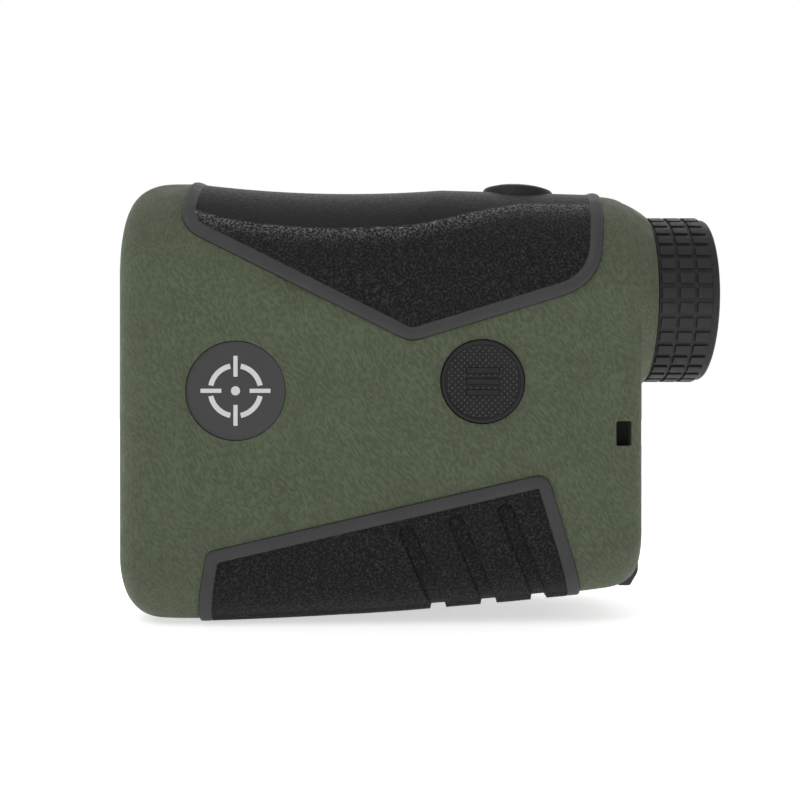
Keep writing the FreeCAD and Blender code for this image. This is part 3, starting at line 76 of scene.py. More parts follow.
class Look:
    """A Principled material under construction, with millimetre texture coordinates."""

    def __init__(self, name, color, rough, metallic=0.0, gloss=0.5):
        self.material = bpy.data.materials.new(name)
        self.material.use_nodes = True
        self.tree = self.material.node_tree
        self.tree.nodes.clear()
        self.output = self.add("ShaderNodeOutputMaterial")
        self.shader = self.add("ShaderNodeBsdfPrincipled")
        self.tree.links.new(self.shader.outputs[0], self.output.inputs[0])
        self.shader.inputs["Base Color"].default_value = (*color, 1)
        self.shader.inputs["Roughness"].default_value = rough
        self.shader.inputs["Metallic"].default_value = metallic
        self.shader.inputs["Specular IOR Level"].default_value = gloss
        self.color = color
        coordinates = self.add("ShaderNodeTexCoord")
        scale = self.add("ShaderNodeVectorMath", operation="SCALE")
        scale.inputs["Scale"].default_value = 1 / MM
        self.tree.links.new(coordinates.outputs["Object"], scale.inputs[0])
        self.place = scale.outputs[0]
        self.bump = None

    def add(self, kind, **settings):
        node = self.tree.nodes.new(kind)
        for key, value in settings.items():
            setattr(node, key, value)
        return node

    def link(self, source, target):
        self.tree.links.new(source, target)

    def mapped(self, stretch=(1, 1, 1), turn=(0, 0, 0), source=None):
        """Texture coordinates turned by degrees, then stretched."""
        rotate = self.add("ShaderNodeMapping", vector_type="TEXTURE")
        rotate.inputs["Rotation"].default_value = [math.radians(angle) for angle in turn]
        rotate.inputs["Scale"].default_value = stretch
        self.link(source or self.place, rotate.inputs["Vector"])
        return rotate.outputs[0]

    def warped(self, size, reach, source=None):
        """Coordinates pushed about by a slow noise."""
        source = source or self.place
        noise = self.noise(size, detail=1, vector=source, color=True)
        middle = self.add("ShaderNodeVectorMath", operation="SUBTRACT")
        self.link(noise, middle.inputs[0])
        middle.inputs[1].default_value = (0.5, 0.5, 0.5)
        push = self.add("ShaderNodeVectorMath", operation="MULTIPLY_ADD")
        self.link(middle.outputs[0], push.inputs[0])
        push.inputs[1].default_value = (reach, reach, reach)
        self.link(source, push.inputs[2])
        return push.outputs[0]

    def noise(self, size, detail=2, rough=0.5, vector=None, color=False):
        """A noise whose features are about `size` millimetres."""
        noise = self.add("ShaderNodeTexNoise")
        noise.inputs["Scale"].default_value = 1 / size
        noise.inputs["Detail"].default_value = detail
        noise.inputs["Roughness"].default_value = rough
        self.link(vector or self.place, noise.inputs["Vector"])
        return noise.outputs["Color" if color else "Fac"]

    def cells(self, size):
        """Distance to the nearest of random cell centres about `size` millimetres apart."""
        cells = self.add("ShaderNodeTexVoronoi", feature="F1")
        cells.inputs["Scale"].default_value = 1 / size
        self.link(self.place, cells.inputs["Vector"])
        return cells.outputs["Distance"]

    def ranged(self, value, low, high, out_low=0.0, out_high=1.0):
        """Maps low..high to out_low..out_high, held at the ends."""
        span = self.add("ShaderNodeMapRange")
        self.link(value, span.inputs["Value"])
        limits = {"From Min": low, "From Max": high, "To Min": out_low, "To Max": out_high}
        for socket, number in limits.items():
            span.inputs[socket].default_value = number
        return span.outputs[0]

    def spread(self, noise, out_low=0.0, out_high=1.0):
        """Stretches a noise's usual range to out_low..out_high."""
        return self.ranged(noise, NOISE_LOW, NOISE_HIGH, out_low, out_high)

    def math(self, operation, first, second):
        step = self.add("ShaderNodeMath", operation=operation)
        for socket, value in zip(step.inputs, (first, second)):
            if isinstance(value, (int, float)):
                socket.default_value = value
            else:
                self.link(value, socket)
        return step.outputs[0]

    def mixed(self, factor, first, second):
        """A colour between two, by factor; each is a colour or a socket."""
        mix = self.add("ShaderNodeMix", data_type="RGBA")
        self.link(factor, mix.inputs[0])
        for socket, value in ((mix.inputs[6], first), (mix.inputs[7], second)):
            if isinstance(value, tuple):
                socket.default_value = (*value, 1)
            else:
                self.link(value, socket)
        return mix.outputs[2]

    def relief(self, height, depth):
        """Adds a bump of that depth in millimetres, on top of any earlier one."""
        bump = self.add("ShaderNodeBump")
        bump.inputs["Strength"].default_value = 1.0
        bump.inputs["Distance"].default_value = depth * MM
        self.link(height, bump.inputs["Height"])
        if self.bump:
            self.link(self.bump, bump.inputs["Normal"])
        self.bump = bump.outputs[0]
        self.link(self.bump, self.shader.inputs["Normal"])

    def paint(self, factor, low, high):
        """Base colour between two shades of the look's colour."""
        dark = tuple(channel * low for channel in self.color)
        light = tuple(channel * high for channel in self.color)
        self.link(self.mixed(factor, dark, light), self.shader.inputs["Base Color"])

    def polish(self, factor, low, high):
        """Roughness between two values."""
        self.link(self.spread(factor, low, high), self.shader.inputs["Roughness"])


def leather_green():
    """Soft-touch green paint over a moulded leather grain of short slanting wrinkles."""
    look = Look("body_green", (0.074, 0.090, 0.054), 0.6, gloss=0.28)
    flow = look.warped(18.0, 6.0)
    along = look.mapped((2.1, 0.8, 0.85), (0, 57, 0), flow)
    wrinkle = look.ranged(look.noise(0.44, detail=1, rough=0.4, vector=along), 0.36, 0.64)
    pebble = look.noise(0.25, detail=2)
    look.relief(wrinkle, 0.065)
    look.relief(pebble, 0.014)
    shade = look.noise(9.0, detail=3)
    tone = look.math("ADD", look.math("MULTIPLY", wrinkle, 0.75), look.spread(shade, 0.0, 0.2))
    look.paint(tone, 0.80, 1.26)
    look.polish(look.noise(3.0, detail=4), 0.52, 0.7)
    return look


def grip_rim():
    """Smooth satin rubber with a dusty grain."""
    look = Look("grip_rim", (0.046, 0.046, 0.047), 0.58, gloss=0.25)
    grain = look.noise(0.13, detail=2)
    look.relief(grain, 0.014)
    look.paint(look.math("ADD", look.ranged(grain, 0.35, 0.65, 0.2, 0.7),
                         look.spread(look.noise(7.0, detail=3), 0.0, 0.3)), 0.8, 1.18)
    look.polish(look.noise(2.5, detail=3), 0.5, 0.68)
    return look


def grip_panel():
    """Coarse spark-eroded rubber, smooth over the crown, with a painted highlight along the crease:
    a pale band that stands in for light catching the grip's shoulder.

    The mesh attribute "crown" is the height above the crease line in millimetres.
    """
    look = Look("grip_panel", (0.020, 0.020, 0.020), 0.5, gloss=0.12)
    over = look.add("ShaderNodeAttribute", attribute_name="crown").outputs["Fac"]
    smoothed = look.ranged(over, -0.25, 0.2)
    # Painted highlight: a band just under the crease, strongest next to it and fading out 3.6 mm
    # below, where light would catch the shoulder.
    near = look.ranged(over, -3.6, -0.2)
    painted_highlight_band = look.math("MULTIPLY", near, near)
    grain = look.noise(0.18, detail=2)
    winding = look.noise(0.36, detail=2, rough=0.6, vector=look.warped(0.8, 0.3))
    worm = look.ranged(winding, 0.44, 0.63)
    rough_share = look.ranged(smoothed, 0, 1, 1.0, 0.12)
    look.relief(look.math("MULTIPLY", worm, rough_share), 0.14)
    look.relief(look.math("MULTIPLY", look.cells(0.32), rough_share), 0.05)
    look.relief(grain, 0.012)
    deep = look.mixed(worm, PIT, (0.034, 0.034, 0.034))
    # The painted highlight's colours: near black in the grain's hollows, pale grey on its ridges,
    # like light glinting off them.
    painted_highlight_tone = look.mixed(worm, (0.011, 0.011, 0.011), (0.21, 0.21, 0.212))
    plain = look.mixed(look.spread(grain), PIT, (0.020, 0.020, 0.020))
    look.link(look.mixed(smoothed, look.mixed(painted_highlight_band, deep, painted_highlight_tone), plain),
              look.shader.inputs["Base Color"])
    look.polish(look.noise(0.5, detail=2), 0.45, 0.65)
    return look


def moulded(name, color, rough, grain=0.15, depth=0.012, contrast=0.12, gloss=0.3):
    """Plain moulded plastic or rubber with fine grain, faint mottling and uneven gloss."""
    look = Look(name, color, rough, gloss=gloss)
    fine = look.noise(grain, detail=2)
    look.relief(fine, depth)
    blotch = look.noise(grain * 40, detail=3)
    tone = look.math("ADD", look.spread(fine, 0.0, 0.6), look.spread(blotch, 0.0, 0.4))
    look.paint(tone, 1 - contrast, 1 + contrast)
    look.polish(look.noise(grain * 14, detail=3), rough - 0.08, rough + 0.08)
    return look


def metal(name, color, rough):
    """Machined metal with turning marks and a little uneven polish."""
    look = Look(name, color, rough, metallic=1.0)
    lines = look.noise(0.12, detail=2, vector=look.mapped((8, 1, 1)))
    look.relief(lines, 0.004)
    look.paint(look.noise(2.0, detail=3), 0.85, 1.1)
    look.polish(look.noise(1.0, detail=3), rough - 0.06, rough + 0.1)
    return look


def glass(name, tint, coat):
    """Coated optical glass: dark, glossy, with the faint colour of its coating."""
    look = Look(name, tint, 0.03)
    look.shader.inputs["IOR"].default_value = 1.6
    look.shader.inputs["Transmission Weight"].default_value = 0.92
    look.shader.inputs["Coat Weight"].default_value = 0.6
    look.shader.inputs["Coat Roughness"].default_value = 0.02
    look.shader.inputs["Coat Tint"].default_value = (*coat, 1)
    film = look.noise(4.0, detail=1)
    look.paint(film, 0.96, 1.0)
    look.polish(look.noise(1.5, detail=4), 0.02, 0.05)
    return look


def circuit(name, color):
    """Solder mask with the faint relief of copper tracks."""
    look = Look(name, color, 0.35)
    tracks = look.add("ShaderNodeTexBrick")
    tracks.inputs["Scale"].default_value = 0.8
    tracks.inputs["Mortar Size"].default_value = 0.03
    look.link(look.place, tracks.inputs["Vector"])
    look.relief(tracks.outputs["Fac"], 0.02)
    look.paint(look.math("ADD", look.math("MULTIPLY", tracks.outputs["Fac"], 0.6),
                         look.spread(look.noise(1.2, detail=3), 0.0, 0.4)), 0.8, 1.5)
    look.polish(look.noise(0.8, detail=3), 0.28, 0.42)
    return look


LOOKS = {
    "body_green": leather_green(),
    "grip_rubber": grip_rim(),
    "grip_panel": grip_panel(),
    "bezel_black": moulded("bezel_black", (0.020, 0.020, 0.021), 0.5, 0.14, 0.012),
    "badge_grey": moulded("badge_grey", (0.050, 0.050, 0.051), 0.42, 0.08, 0.004, 0.06),
    "button_rubber": moulded("button_rubber", (0.013, 0.013, 0.013), 0.55, 0.1, 0.006),
    "ring_rubber": moulded("ring_rubber", (0.020, 0.020, 0.020), 0.55, 0.12, 0.012, 0.16),
    "door_plastic": moulded("door_plastic", (0.040, 0.040, 0.041), 0.5, 0.15, 0.014),
    "inner_plastic": moulded("inner_plastic", (0.016, 0.016, 0.016), 0.62, 0.2, 0.01),
    "metal_black": metal("metal_black", (0.06, 0.06, 0.062), 0.42),
    "coated_glass": glass("coated_glass", (0.95, 0.97, 0.96), (0.75, 0.9, 0.8)),
    "prism_glass": glass("prism_glass", (0.97, 0.98, 0.97), (0.9, 0.95, 1.0)),
    "board_green": circuit("board_green", (0.01, 0.09, 0.03)),
    "chip_black": moulded("chip_black", (0.018, 0.018, 0.018), 0.45, 0.1, 0.006),
    "steel": metal("steel", (0.62, 0.62, 0.6), 0.3),
    "brass_gold": metal("brass_gold", (0.8, 0.6, 0.28), 0.28),
    "flex_film": moulded("flex_film", (0.28, 0.12, 0.03), 0.35, 0.3, 0.006),
    "battery_wrap": moulded("battery_wrap", (0.05, 0.07, 0.12), 0.3, 0.5, 0.004),
    "seal_rubber": moulded("seal_rubber", (0.02, 0.02, 0.02), 0.5, 0.1, 0.008),
    "mark_button": moulded("mark_button", (0.040, 0.040, 0.041), 0.5, 0.1, 0.004),
    "mark_white": moulded("mark_white", (0.62, 0.62, 0.62), 0.5, 0.1, 0.003, 0.05),
}


def dress(thing, slot):
    """Gives an object one material."""
    thing.data.materials.clear()
    thing.data.materials.append(LOOKS[slot].material)


# ---------------------------------------------------------------- mesh helpers
SEAM_GAP = 0.002        # vertices closer than this are one
SLIVER = 0.001          # edges shorter than this are dissolved
FLAT_ANGLE = 1.2        # faces within this angle are merged
CAD_SHARP = 32.0        # edges sharper than these angles stay sharp, in degrees
GRIP_SHARP = 40
STUD_SHARP = 20
EDGE_BEVEL = 0.1


def keep(name, mesh, slot, like):
    """Makes a mesh a piece that rides with a CAD node; slot None leaves its materials alone."""
    thing = bpy.data.objects.new(name, mesh)
    scene.collection.objects.link(thing)
    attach(thing, BODY_OF[like])
    if slot:
        dress(thing, slot)
    return thing


def smooth(mesh, angle=CAD_SHARP):
    """Smooth shading with edges over that many degrees kept sharp."""
    mesh.shade_smooth()
    mesh.set_sharp_from_angle(angle=math.radians(angle))


def welded(node):
    """The CAD node's mesh with the seams between its faces closed."""
    mesh = nodes[node].data.copy()
    mesh.materials.clear()
    work = bmesh.new()
    work.from_mesh(mesh)
    bmesh.ops.remove_doubles(work, verts=work.verts, dist=SEAM_GAP * MM)
    bmesh.ops.dissolve_degenerate(work, edges=work.edges, dist=SLIVER * MM)
    work.to_mesh(mesh)
    work.free()
    return mesh


def refined(node, bevel=EDGE_BEVEL):
    """A finished copy of a CAD node: closed seams, flat faces merged, edges softened."""
    mesh = welded(node)
    work = bmesh.new()
    work.from_mesh(mesh)
    bmesh.ops.dissolve_limit(work, angle_limit=math.radians(FLAT_ANGLE), verts=work.verts,
                             edges=work.edges, delimit={"NORMAL"})
    work.to_mesh(mesh)
    work.free()
    smooth(mesh)
    thing = keep(f"{node}_finished", mesh, SLOT_OF[node], node)
    if bevel:
        soften = thing.modifiers.new("soft_edges", "BEVEL")
        soften.width = bevel * MM
        soften.segments = 2
        soften.limit_method = "ANGLE"
        soften.angle_limit = math.radians(CAD_SHARP)
        soften.harden_normals = True
        soften.use_clamp_overlap = True
    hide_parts(node)


# ---------------------------------------------------------------- the case's outer form
FRONT = -50.6
LENGTH = 87.9
REAR = FRONT + LENGTH
HEIGHT = 76.0
HALF_WIDTH = 19.6
WIDTH_TAPER = 1.2
TOP_DROP = 2.62
BELLY_START, BELLY_SLOPE, BELLY_RISE = 0.2, 0.6, 5.1
BELLY_RADIUS = 8.0
AXIS = 55.1                             # height of the objective's and eyepiece's axis
TAIL_DEPTH, TAIL_INSET, TAIL_POWER = 7.5, 5.5, 2.4
EDGE_SHRINK = 0.6                       # how fast the belly's edge tightens along the tail
SOLE_START, SOLE_BEND, SOLE_END = FRONT + 13.9, FRONT + 44.1, REAR - 11.1
SOLE_OVERRUN = 20                       # the rear facet is carried on past the grip's end


def section(x):
    """Half width, crown, belly and lower edge radius of the case at stations x."""
    share = (x - FRONT) / LENGTH
    near = np.clip((REAR - x) / TAIL_DEPTH, 0, 1)
    inset = TAIL_INSET * (1 - (1 - (1 - near) ** TAIL_POWER) ** (1 / TAIL_POWER))
    half = HALF_WIDTH - WIDTH_TAPER * share - inset
    crown = HEIGHT - TOP_DROP * share - inset
    belly = BELLY_START + BELLY_SLOPE * share + BELLY_RISE * share ** 2 + inset
    edge = BELLY_RADIUS - EDGE_SHRINK * inset
    return half, crown, belly, edge


def crown_level(x):
    """Height of the crown in the middle plane."""
    return section(x)[1]


def belly_level(x):
    """Height of the belly in the middle plane."""
    return section(x)[2]


def crown_point(x, run, lift):
    """Point `run` mm round the section from the crown, `lift` above the skin.

    run is positive towards -Y.
    """
    half, crown = section(x)[:2]
    side = np.where(run < 0, 1.0, -1.0)
    arc = half * math.pi / 2
    angle = np.minimum(np.abs(run), arc) / half
    down = np.maximum(np.abs(run) - arc, 0)
    y = side * (half + lift) * np.sin(angle)
    z = crown - half + (half + lift) * np.cos(angle) - down
    return np.stack([x, y, z], 1)


def crown_run(x, z):
    """How far round the section a height z lies from the crown."""
    half, crown = section(x)[:2]
    centre = crown - half
    angle = np.arccos(np.clip((z - centre) / half, -1, 1))
    return np.where(z > centre, half * angle, half * math.pi / 2 + centre - z)


def belly_point(x, run, lift):
    """Point `run` mm round the section from the middle of the belly (positive towards -Y)."""
    half, _, belly, edge = section(x)
    side = np.where(run < 0, 1.0, -1.0)
    flat = half - edge
    angle = np.clip((np.abs(run) - flat) / edge, 0, math.pi / 2)
    up = np.maximum(np.abs(run) - flat - edge * math.pi / 2, 0)
    across = np.minimum(np.abs(run), flat)
    y = side * (across + (edge + lift) * np.sin(angle))
    z = belly + edge - (edge + lift) * np.cos(angle) + up
    return np.stack([x, y, z], 1)


def belly_run(x, z):
    """How far round the section a height z lies from the middle of the belly."""
    half, _, belly, edge = section(x)
    centre = belly + edge
    angle = np.arccos(np.clip((centre - z) / edge, -1, 1))
    return half - edge + np.where(z > centre, edge * math.pi / 2 + z - centre, edge * angle)


def underside(x):
    """The lower grip's sole: two flat facets."""
    rear_slope = (belly_level(SOLE_END) - belly_level(SOLE_BEND)) / (SOLE_END - SOLE_BEND)
    middle = belly_level(SOLE_BEND) - belly_level(SOLE_START)
    last = SOLE_END + SOLE_OVERRUN
    return np.interp(x, [SOLE_START, SOLE_BEND, last],
                     [0.0, middle, middle + rear_slope * (last - SOLE_BEND)])


# ---------------------------------------------------------------- outlines
TRACE_STEP = 0.1
SHARP_RADIUS = 0.02     # a corner with a smaller radius is left sharp
ROWS_AT_ONCE = 2000     # points measured against a loop in one go


def inset_corners(corners, distance, radii):
    """Corners (x, z) moved to the left of the way the outline runs, with new radii."""
    spots = [Vector(corner[:2]) for corner in corners]
    moved = []
    for index, here in enumerate(spots):
        inward = (here - spots[index - 1]).normalized()
        outward = (spots[(index + 1) % len(spots)] - here).normalized()
        normal_in = Vector((-inward.y, inward.x))
        normal_out = Vector((-outward.y, outward.x))
        spot = here + (normal_in + normal_out) * (distance / (1 + normal_in.dot(normal_out)))
        moved.append((spot.x, spot.y, radii[index]))
    return moved


def traced(corners):
    """Dense points along an open outline with rounded corners."""
    spots = [Vector(corner[:2]) for corner in corners]
    track = [spots[0]]
    for index in range(1, len(spots) - 1):
        here, radius = spots[index], corners[index][2]
        back = (spots[index - 1] - here).normalized()
        ahead = (spots[index + 1] - here).normalized()
        if radius < SHARP_RADIUS:
            track.append(here)
            continue
        half_angle = back.angle(ahead) / 2
        reach = radius / math.tan(half_angle)
        centre = here + (back + ahead).normalized() * (radius / math.sin(half_angle))
        first = here + back * reach - centre
        swing = first.angle_signed(here + ahead * reach - centre)
        steps = max(3, int(abs(swing) * radius / TRACE_STEP))
        for count in range(steps + 1):
            arm = first.copy()
            arm.rotate(Matrix.Rotation(-swing * count / steps, 2))
            track.append(centre + arm)
    track.append(spots[-1])
    dense = []
    for start, end in zip(track, track[1:]):
        pieces = max(1, int((end - start).length / TRACE_STEP))
        dense += [start.lerp(end, count / pieces) for count in range(pieces)]
    dense.append(track[-1])
    return np.array([tuple(spot) for spot in dense])


def respaced(track, step):
    """The same track with evenly spaced points, ends kept."""
    lengths = np.concatenate([[0], np.cumsum(np.linalg.norm(np.diff(track, axis=0), axis=1))])
    count = max(2, int(lengths[-1] / step))
    marks = np.linspace(0, lengths[-1], count + 1)
    return np.stack([np.interp(marks, lengths, track[:, axis]) for axis in (0, 1)], 1)


def unrolled(track, run_of, limit, step):
    """A side-view outline laid out flat and closed across both sides of the case.

    limit gives the height at which the outline crosses the middle plane (crown or belly).
    """
    x, z = track[:, 0], track[:, 1]
    edge = limit(x)
    inside = z < edge if limit is crown_level else z > edge
    first, last = np.flatnonzero(inside)[[0, -1]]
    kept = slice(first, last + 1)
    half = np.stack([x[kept], run_of(x[kept], z[kept])], 1)
    half = respaced(np.vstack([[[half[0, 0], 0.0]], half, [[half[-1, 0], 0.0]]]), step)
    mirrored = half[1:-1][::-1] * (1, -1)
    return np.vstack([half, mirrored])


def inside_loop(points, loop):
    """Which points lie in a closed loop."""
    x, y = points[:, 0, None], points[:, 1, None]
    ax, ay = loop[:, 0], loop[:, 1]
    bx, by = np.roll(ax, -1), np.roll(ay, -1)
    crosses = (ay > y) != (by > y)
    with np.errstate(divide="ignore", invalid="ignore"):
        at = ax + (y - ay) * (bx - ax) / (by - ay)
    return (np.sum(crosses & (x < at), axis=1) % 2) == 1


def distance_to(points, loop):
    """Distance from each point to a closed loop."""
    start, end = loop, np.roll(loop, -1, axis=0)
    span = end - start
    best = np.full(len(points), 1e9)
    for block in range(0, len(points), ROWS_AT_ONCE):
        rows = points[block:block + ROWS_AT_ONCE]
        offset = rows[:, None, :] - start[None]
        share = np.clip((offset * span).sum(2) / np.maximum((span ** 2).sum(1), 1e-12), 0, 1)
        gap = np.linalg.norm(offset - share[..., None] * span, axis=2)
        best[block:block + ROWS_AT_ONCE] = gap.min(1)
    return best


# ---------------------------------------------------------------- moulded grips
# Heights are above the case's skin.
SEAT = -1.54            # the underside of both mouldings
PANEL_LIFT = 0.25
PROUD = 0.6             # the top of the rims and of the sole
TOP_RIM = ((0.06, 0.28), (0.22, 0.47), (0.5, 0.57), (0.9, 0.6), (1.35, 0.53), (1.8, 0.38),
           (2.15, 0.25))        # (distance in from the outline, height)
SOLE_RIM = ((0.06, 0.32), (0.2, 0.52), (0.42, 0.59), (1.2, 0.6), (1.95, 0.58), (2.06, 0.5),
            (2.16, 0.25))
RIM_STEP = 0.55
GROOVE_FLOOR = -0.32
GROOVE_WALL = 0.16
GROOVE_STEP = 0.4
GRID = 0.62             # spacing of the panel's points
GRID_ROW = 0.87         # a row's spacing as a share of GRID
RIM_CLEAR = 0.6         # nearest a panel point comes to the rim, as a share of GRID
POCKET_CLEAR = 0.45
CDT_GAP = 1e-5
OFF_CROWN = -9.0        # the "crown" attribute where there is no crease


def patch(rims, pockets, point_of):
    """A closed rubber moulding laid on the case.

    rims are closed loops with heights, outermost first; pockets are inner loops with heights, each
    outer loop followed by its floor, and a pocket of height None is a hole. Returns the faces, the
    outer and inner skins' points, and which faces belong to the panel.
    """
    outer, panel_edge = rims[0][0], rims[-1][0]
    low, high = panel_edge.min(0), panel_edge.max(0)
    columns = np.arange(low[0], high[0], GRID)
    rows = np.arange(low[1], high[1], GRID * GRID_ROW)
    grid = np.array([(x + (index % 2) * GRID / 2, y)
                     for index, y in enumerate(rows) for x in columns])
    grid = grid[inside_loop(grid, panel_edge)]
    grid = grid[distance_to(grid, panel_edge) > GRID * RIM_CLEAR]
    for loop, _ in pockets:
        grid = grid[distance_to(grid, loop) > GRID * POCKET_CLEAR]
    lift = np.full(len(grid), PANEL_LIFT)
    floors = [pocket for pocket in pockets if pocket[1] is not None]
    holes = [loop for loop, height in pockets if height is None]
    for floor_loop, floor_height in floors[1::2]:
        lift[inside_loop(grid, floor_loop)] = floor_height
    spots, lifts, edges = [grid], [lift], []
    count = len(grid)
    for loop, height in [*rims, *pockets]:
        edges += [(count + index, count + (index + 1) % len(loop))
                  for index in range(len(loop))]
        spots.append(loop)
        lifts.append(np.full(len(loop), PANEL_LIFT if height is None else height))
        count += len(loop)
    spots, lifts = np.vstack(spots), np.concatenate(lifts)
    made = delaunay_2d_cdt([Vector(spot) for spot in spots], edges, [], 0, CDT_GAP, True)
    flat = np.array([tuple(vertex) for vertex in made[0]])
    origin = np.array([ids[0] if ids else 0 for ids in made[3]])
    faces = np.array(made[2])
    centres = flat[faces].mean(1)
    keep_face = inside_loop(centres, outer)
    for hole in holes:
        keep_face &= ~inside_loop(centres, hole)
    faces = faces[keep_face]
    centres = centres[keep_face]
    top = point_of(flat[:, 0], flat[:, 1], lifts[origin])
    base = point_of(flat[:, 0], flat[:, 1], np.full(len(flat), SEAT))
    return faces, top, base, inside_loop(centres, panel_edge)


def closed_mesh(name, faces, top, base, panel, crown=None):
    """Joins the outer and inner skins along their free edges."""
    used = {}
    for face in faces:
        for first, second in zip(face, np.roll(face, -1)):
            key = (min(first, second), max(first, second))
            used.setdefault(key, []).append((int(first), int(second)))
    shift = len(top)
    rim = [(b, a, a + shift, b + shift)
           for pairs in used.values() if len(pairs) == 1 for a, b in pairs]
    solid = [tuple(map(int, face)) for face in faces]
    inner = [tuple(int(index) + shift for index in face[::-1]) for face in faces]
    mesh = bpy.data.meshes.new(name)
    mesh.from_pydata((np.vstack([top, base]) * MM).tolist(), [], solid + inner + rim)
    mesh.materials.append(LOOKS["grip_rubber"].material)
    mesh.materials.append(LOOKS["grip_panel"].material)
    for polygon, is_panel in zip(mesh.polygons, panel):
        polygon.material_index = int(is_panel)
    layer = mesh.attributes.new("crown", "FLOAT", "POINT")
    plain = np.full(shift, OFF_CROWN)
    values = np.concatenate([plain if crown is None else crown, plain])
    layer.data.foreach_set("value", values.astype(np.float32))
    work = bmesh.new()
    work.from_mesh(mesh)
    bmesh.ops.recalc_face_normals(work, faces=work.faces)
    loose = [vertex for vertex in work.verts if not vertex.link_faces]
    bmesh.ops.delete(work, geom=loose, context="VERTS")
    work.to_mesh(mesh)
    work.free()
    return mesh


def rim_loops(corners, profile, inner_radii, side, run_of, limit):
    """A rim's loops with their heights, from its outer edge inwards.

    side is 1 for an outline that runs counter-clockwise in (x, z), and -1 for a clockwise one.
    """
    loops = []
    for inset, height in profile:
        share = inset / profile[-1][0]
        radii = [corner[2] + (inner - corner[2]) * share
                 for corner, inner in zip(corners, inner_radii)]
        track = traced(inset_corners(corners, side * inset, radii))
        loops.append((unrolled(track, run_of, limit, RIM_STEP), height))
    return loops


SADDLE_TUBE = 20.6      # radius across the saddle
SADDLE_SWEEP = 210.0    # radius along it
SADDLE_MIDDLE = 38.6    # its lowest point, from the front
SADDLE_SHARE = 0.39     # where along the case its level is taken
SADDLE_DEPTH = 1.25
# The crease below the crown, as seen from the side; the grip panel's painted highlight band runs
# just under it.
CREASE_X = (-37.2, -32.1, -27.0, -20.6, -14.2, -9.1, -4.0, 0.0, 5.4, 9.5, 13.9, 17.0)
CREASE_Z = (68.9, 67.3, 66.4, 65.8, 65.5, 65.7, 65.9, 66.3, 67.7, 68.8, 69.8, 70.5)


def saddled(points, lifts):
    """Pulls points above the crown's saddle down on to it."""
    middle = FRONT + SADDLE_MIDDLE
    level = HEIGHT - TOP_DROP * SADDLE_SHARE + PROUD - SADDLE_DEPTH
    away = np.hypot(points[:, 0] - middle, points[:, 2] - level - SADDLE_SWEEP)
    across = away - SADDLE_SWEEP - SADDLE_TUBE
    spread = np.hypot(across, points[:, 1])
    tube = SADDLE_TUBE - (PROUD - lifts)
    over = spread - tube
    share = np.where(over > 0, tube / spread, 1.0)
    ratio = (across * share + SADDLE_SWEEP + SADDLE_TUBE) / away
    pulled = points.copy()
    pulled[:, 0] = middle + (points[:, 0] - middle) * ratio
    pulled[:, 1] = points[:, 1] * share
    pulled[:, 2] = level + SADDLE_SWEEP + (points[:, 2] - level - SADDLE_SWEEP) * ratio
    return pulled


POWER_AXIS_X = 17.6
POWER_BASE = 66.4
POWER_TILT = math.radians(3.4)
POWER_HOLE = 6.5
POWER_HOLE_EDGE = 0.3   # the ring of points kept round the hole
POWER_STEP = 0.5
TOP_LEFT, TOP_RIGHT = FRONT + 11.2, REAR - 7.9
TOP_TIP = (TOP_LEFT + 0.553 * (TOP_RIGHT - TOP_LEFT), AXIS - 8.5)
TOP_OVER = HEIGHT + 8   # clear above the crown
TOP_CORNERS = ((TOP_LEFT, TOP_OVER, 0), (TOP_LEFT, AXIS + 10.45, 5.5), (*TOP_TIP, 4.0),
               (TOP_RIGHT, AXIS + 0.9, 9.2), (TOP_RIGHT + 4, TOP_OVER, 0))
TOP_INNER_RADII = (0, 3.4, 1.8, 7.0, 0)


def power_loop(radius):
    """The power button's hole, laid out flat on the crown."""
    count = int(2 * math.pi * radius / POWER_STEP)
    angle = np.linspace(0, 2 * math.pi, count, endpoint=False)
    y = radius * np.sin(angle)
    x = np.full(count, POWER_AXIS_X)
    for _ in range(3):      # closes in on where the tilted hole meets the crown
        half, crown = section(x)[:2]
        z = crown - half + np.sqrt(half ** 2 - y ** 2)
        x = POWER_AXIS_X + (z - POWER_BASE) * math.tan(POWER_TILT) + radius * np.cos(angle)
    half = section(x)[0]
    return np.stack([x, -half * np.arcsin(y / half)], 1)


def top_grip():
    """The upper grip, moulded over the crown with its saddle and the power button's hole."""
    rims = rim_loops(TOP_CORNERS, TOP_RIM, TOP_INNER_RADII, 1, crown_run, crown_level)
    pockets = [(power_loop(POWER_HOLE), None),
               (power_loop(POWER_HOLE + POWER_HOLE_EDGE), PANEL_LIFT)]

    def point_of(x, run, lift):
        return saddled(crown_point(x, run, lift), lift)

    faces, top, base, panel = patch(rims, pockets, point_of)
    # Height over the crease: it puts the panel's smooth crown above the line and its painted
    # highlight band below it.
    over_crease = top[:, 2] - np.interp(top[:, 0], CREASE_X, CREASE_Z)
    mesh = closed_mesh("top_grip_moulding", faces, top, base, panel, over_crease)
    smooth(mesh, GRIP_SHARP)
    thing = keep("top_grip_moulding", mesh, None, "top_grip")
    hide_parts("top_grip")


# The finger grooves: half width, spacing along and up, which way they lean, how far they run, the
# first one's head back and down from the grip's rear upper corner, and the steps round a head.
FINGER_HALF = 1.225
FINGER_PITCH = 8.03
FINGER_RISE = 1.77
FINGER_LEAN = (0.385, -0.923)
FINGER_RUN = 34
FINGER_BACK, FINGER_DOWN = 22.93, 9.8
FINGER_TURNS = 14
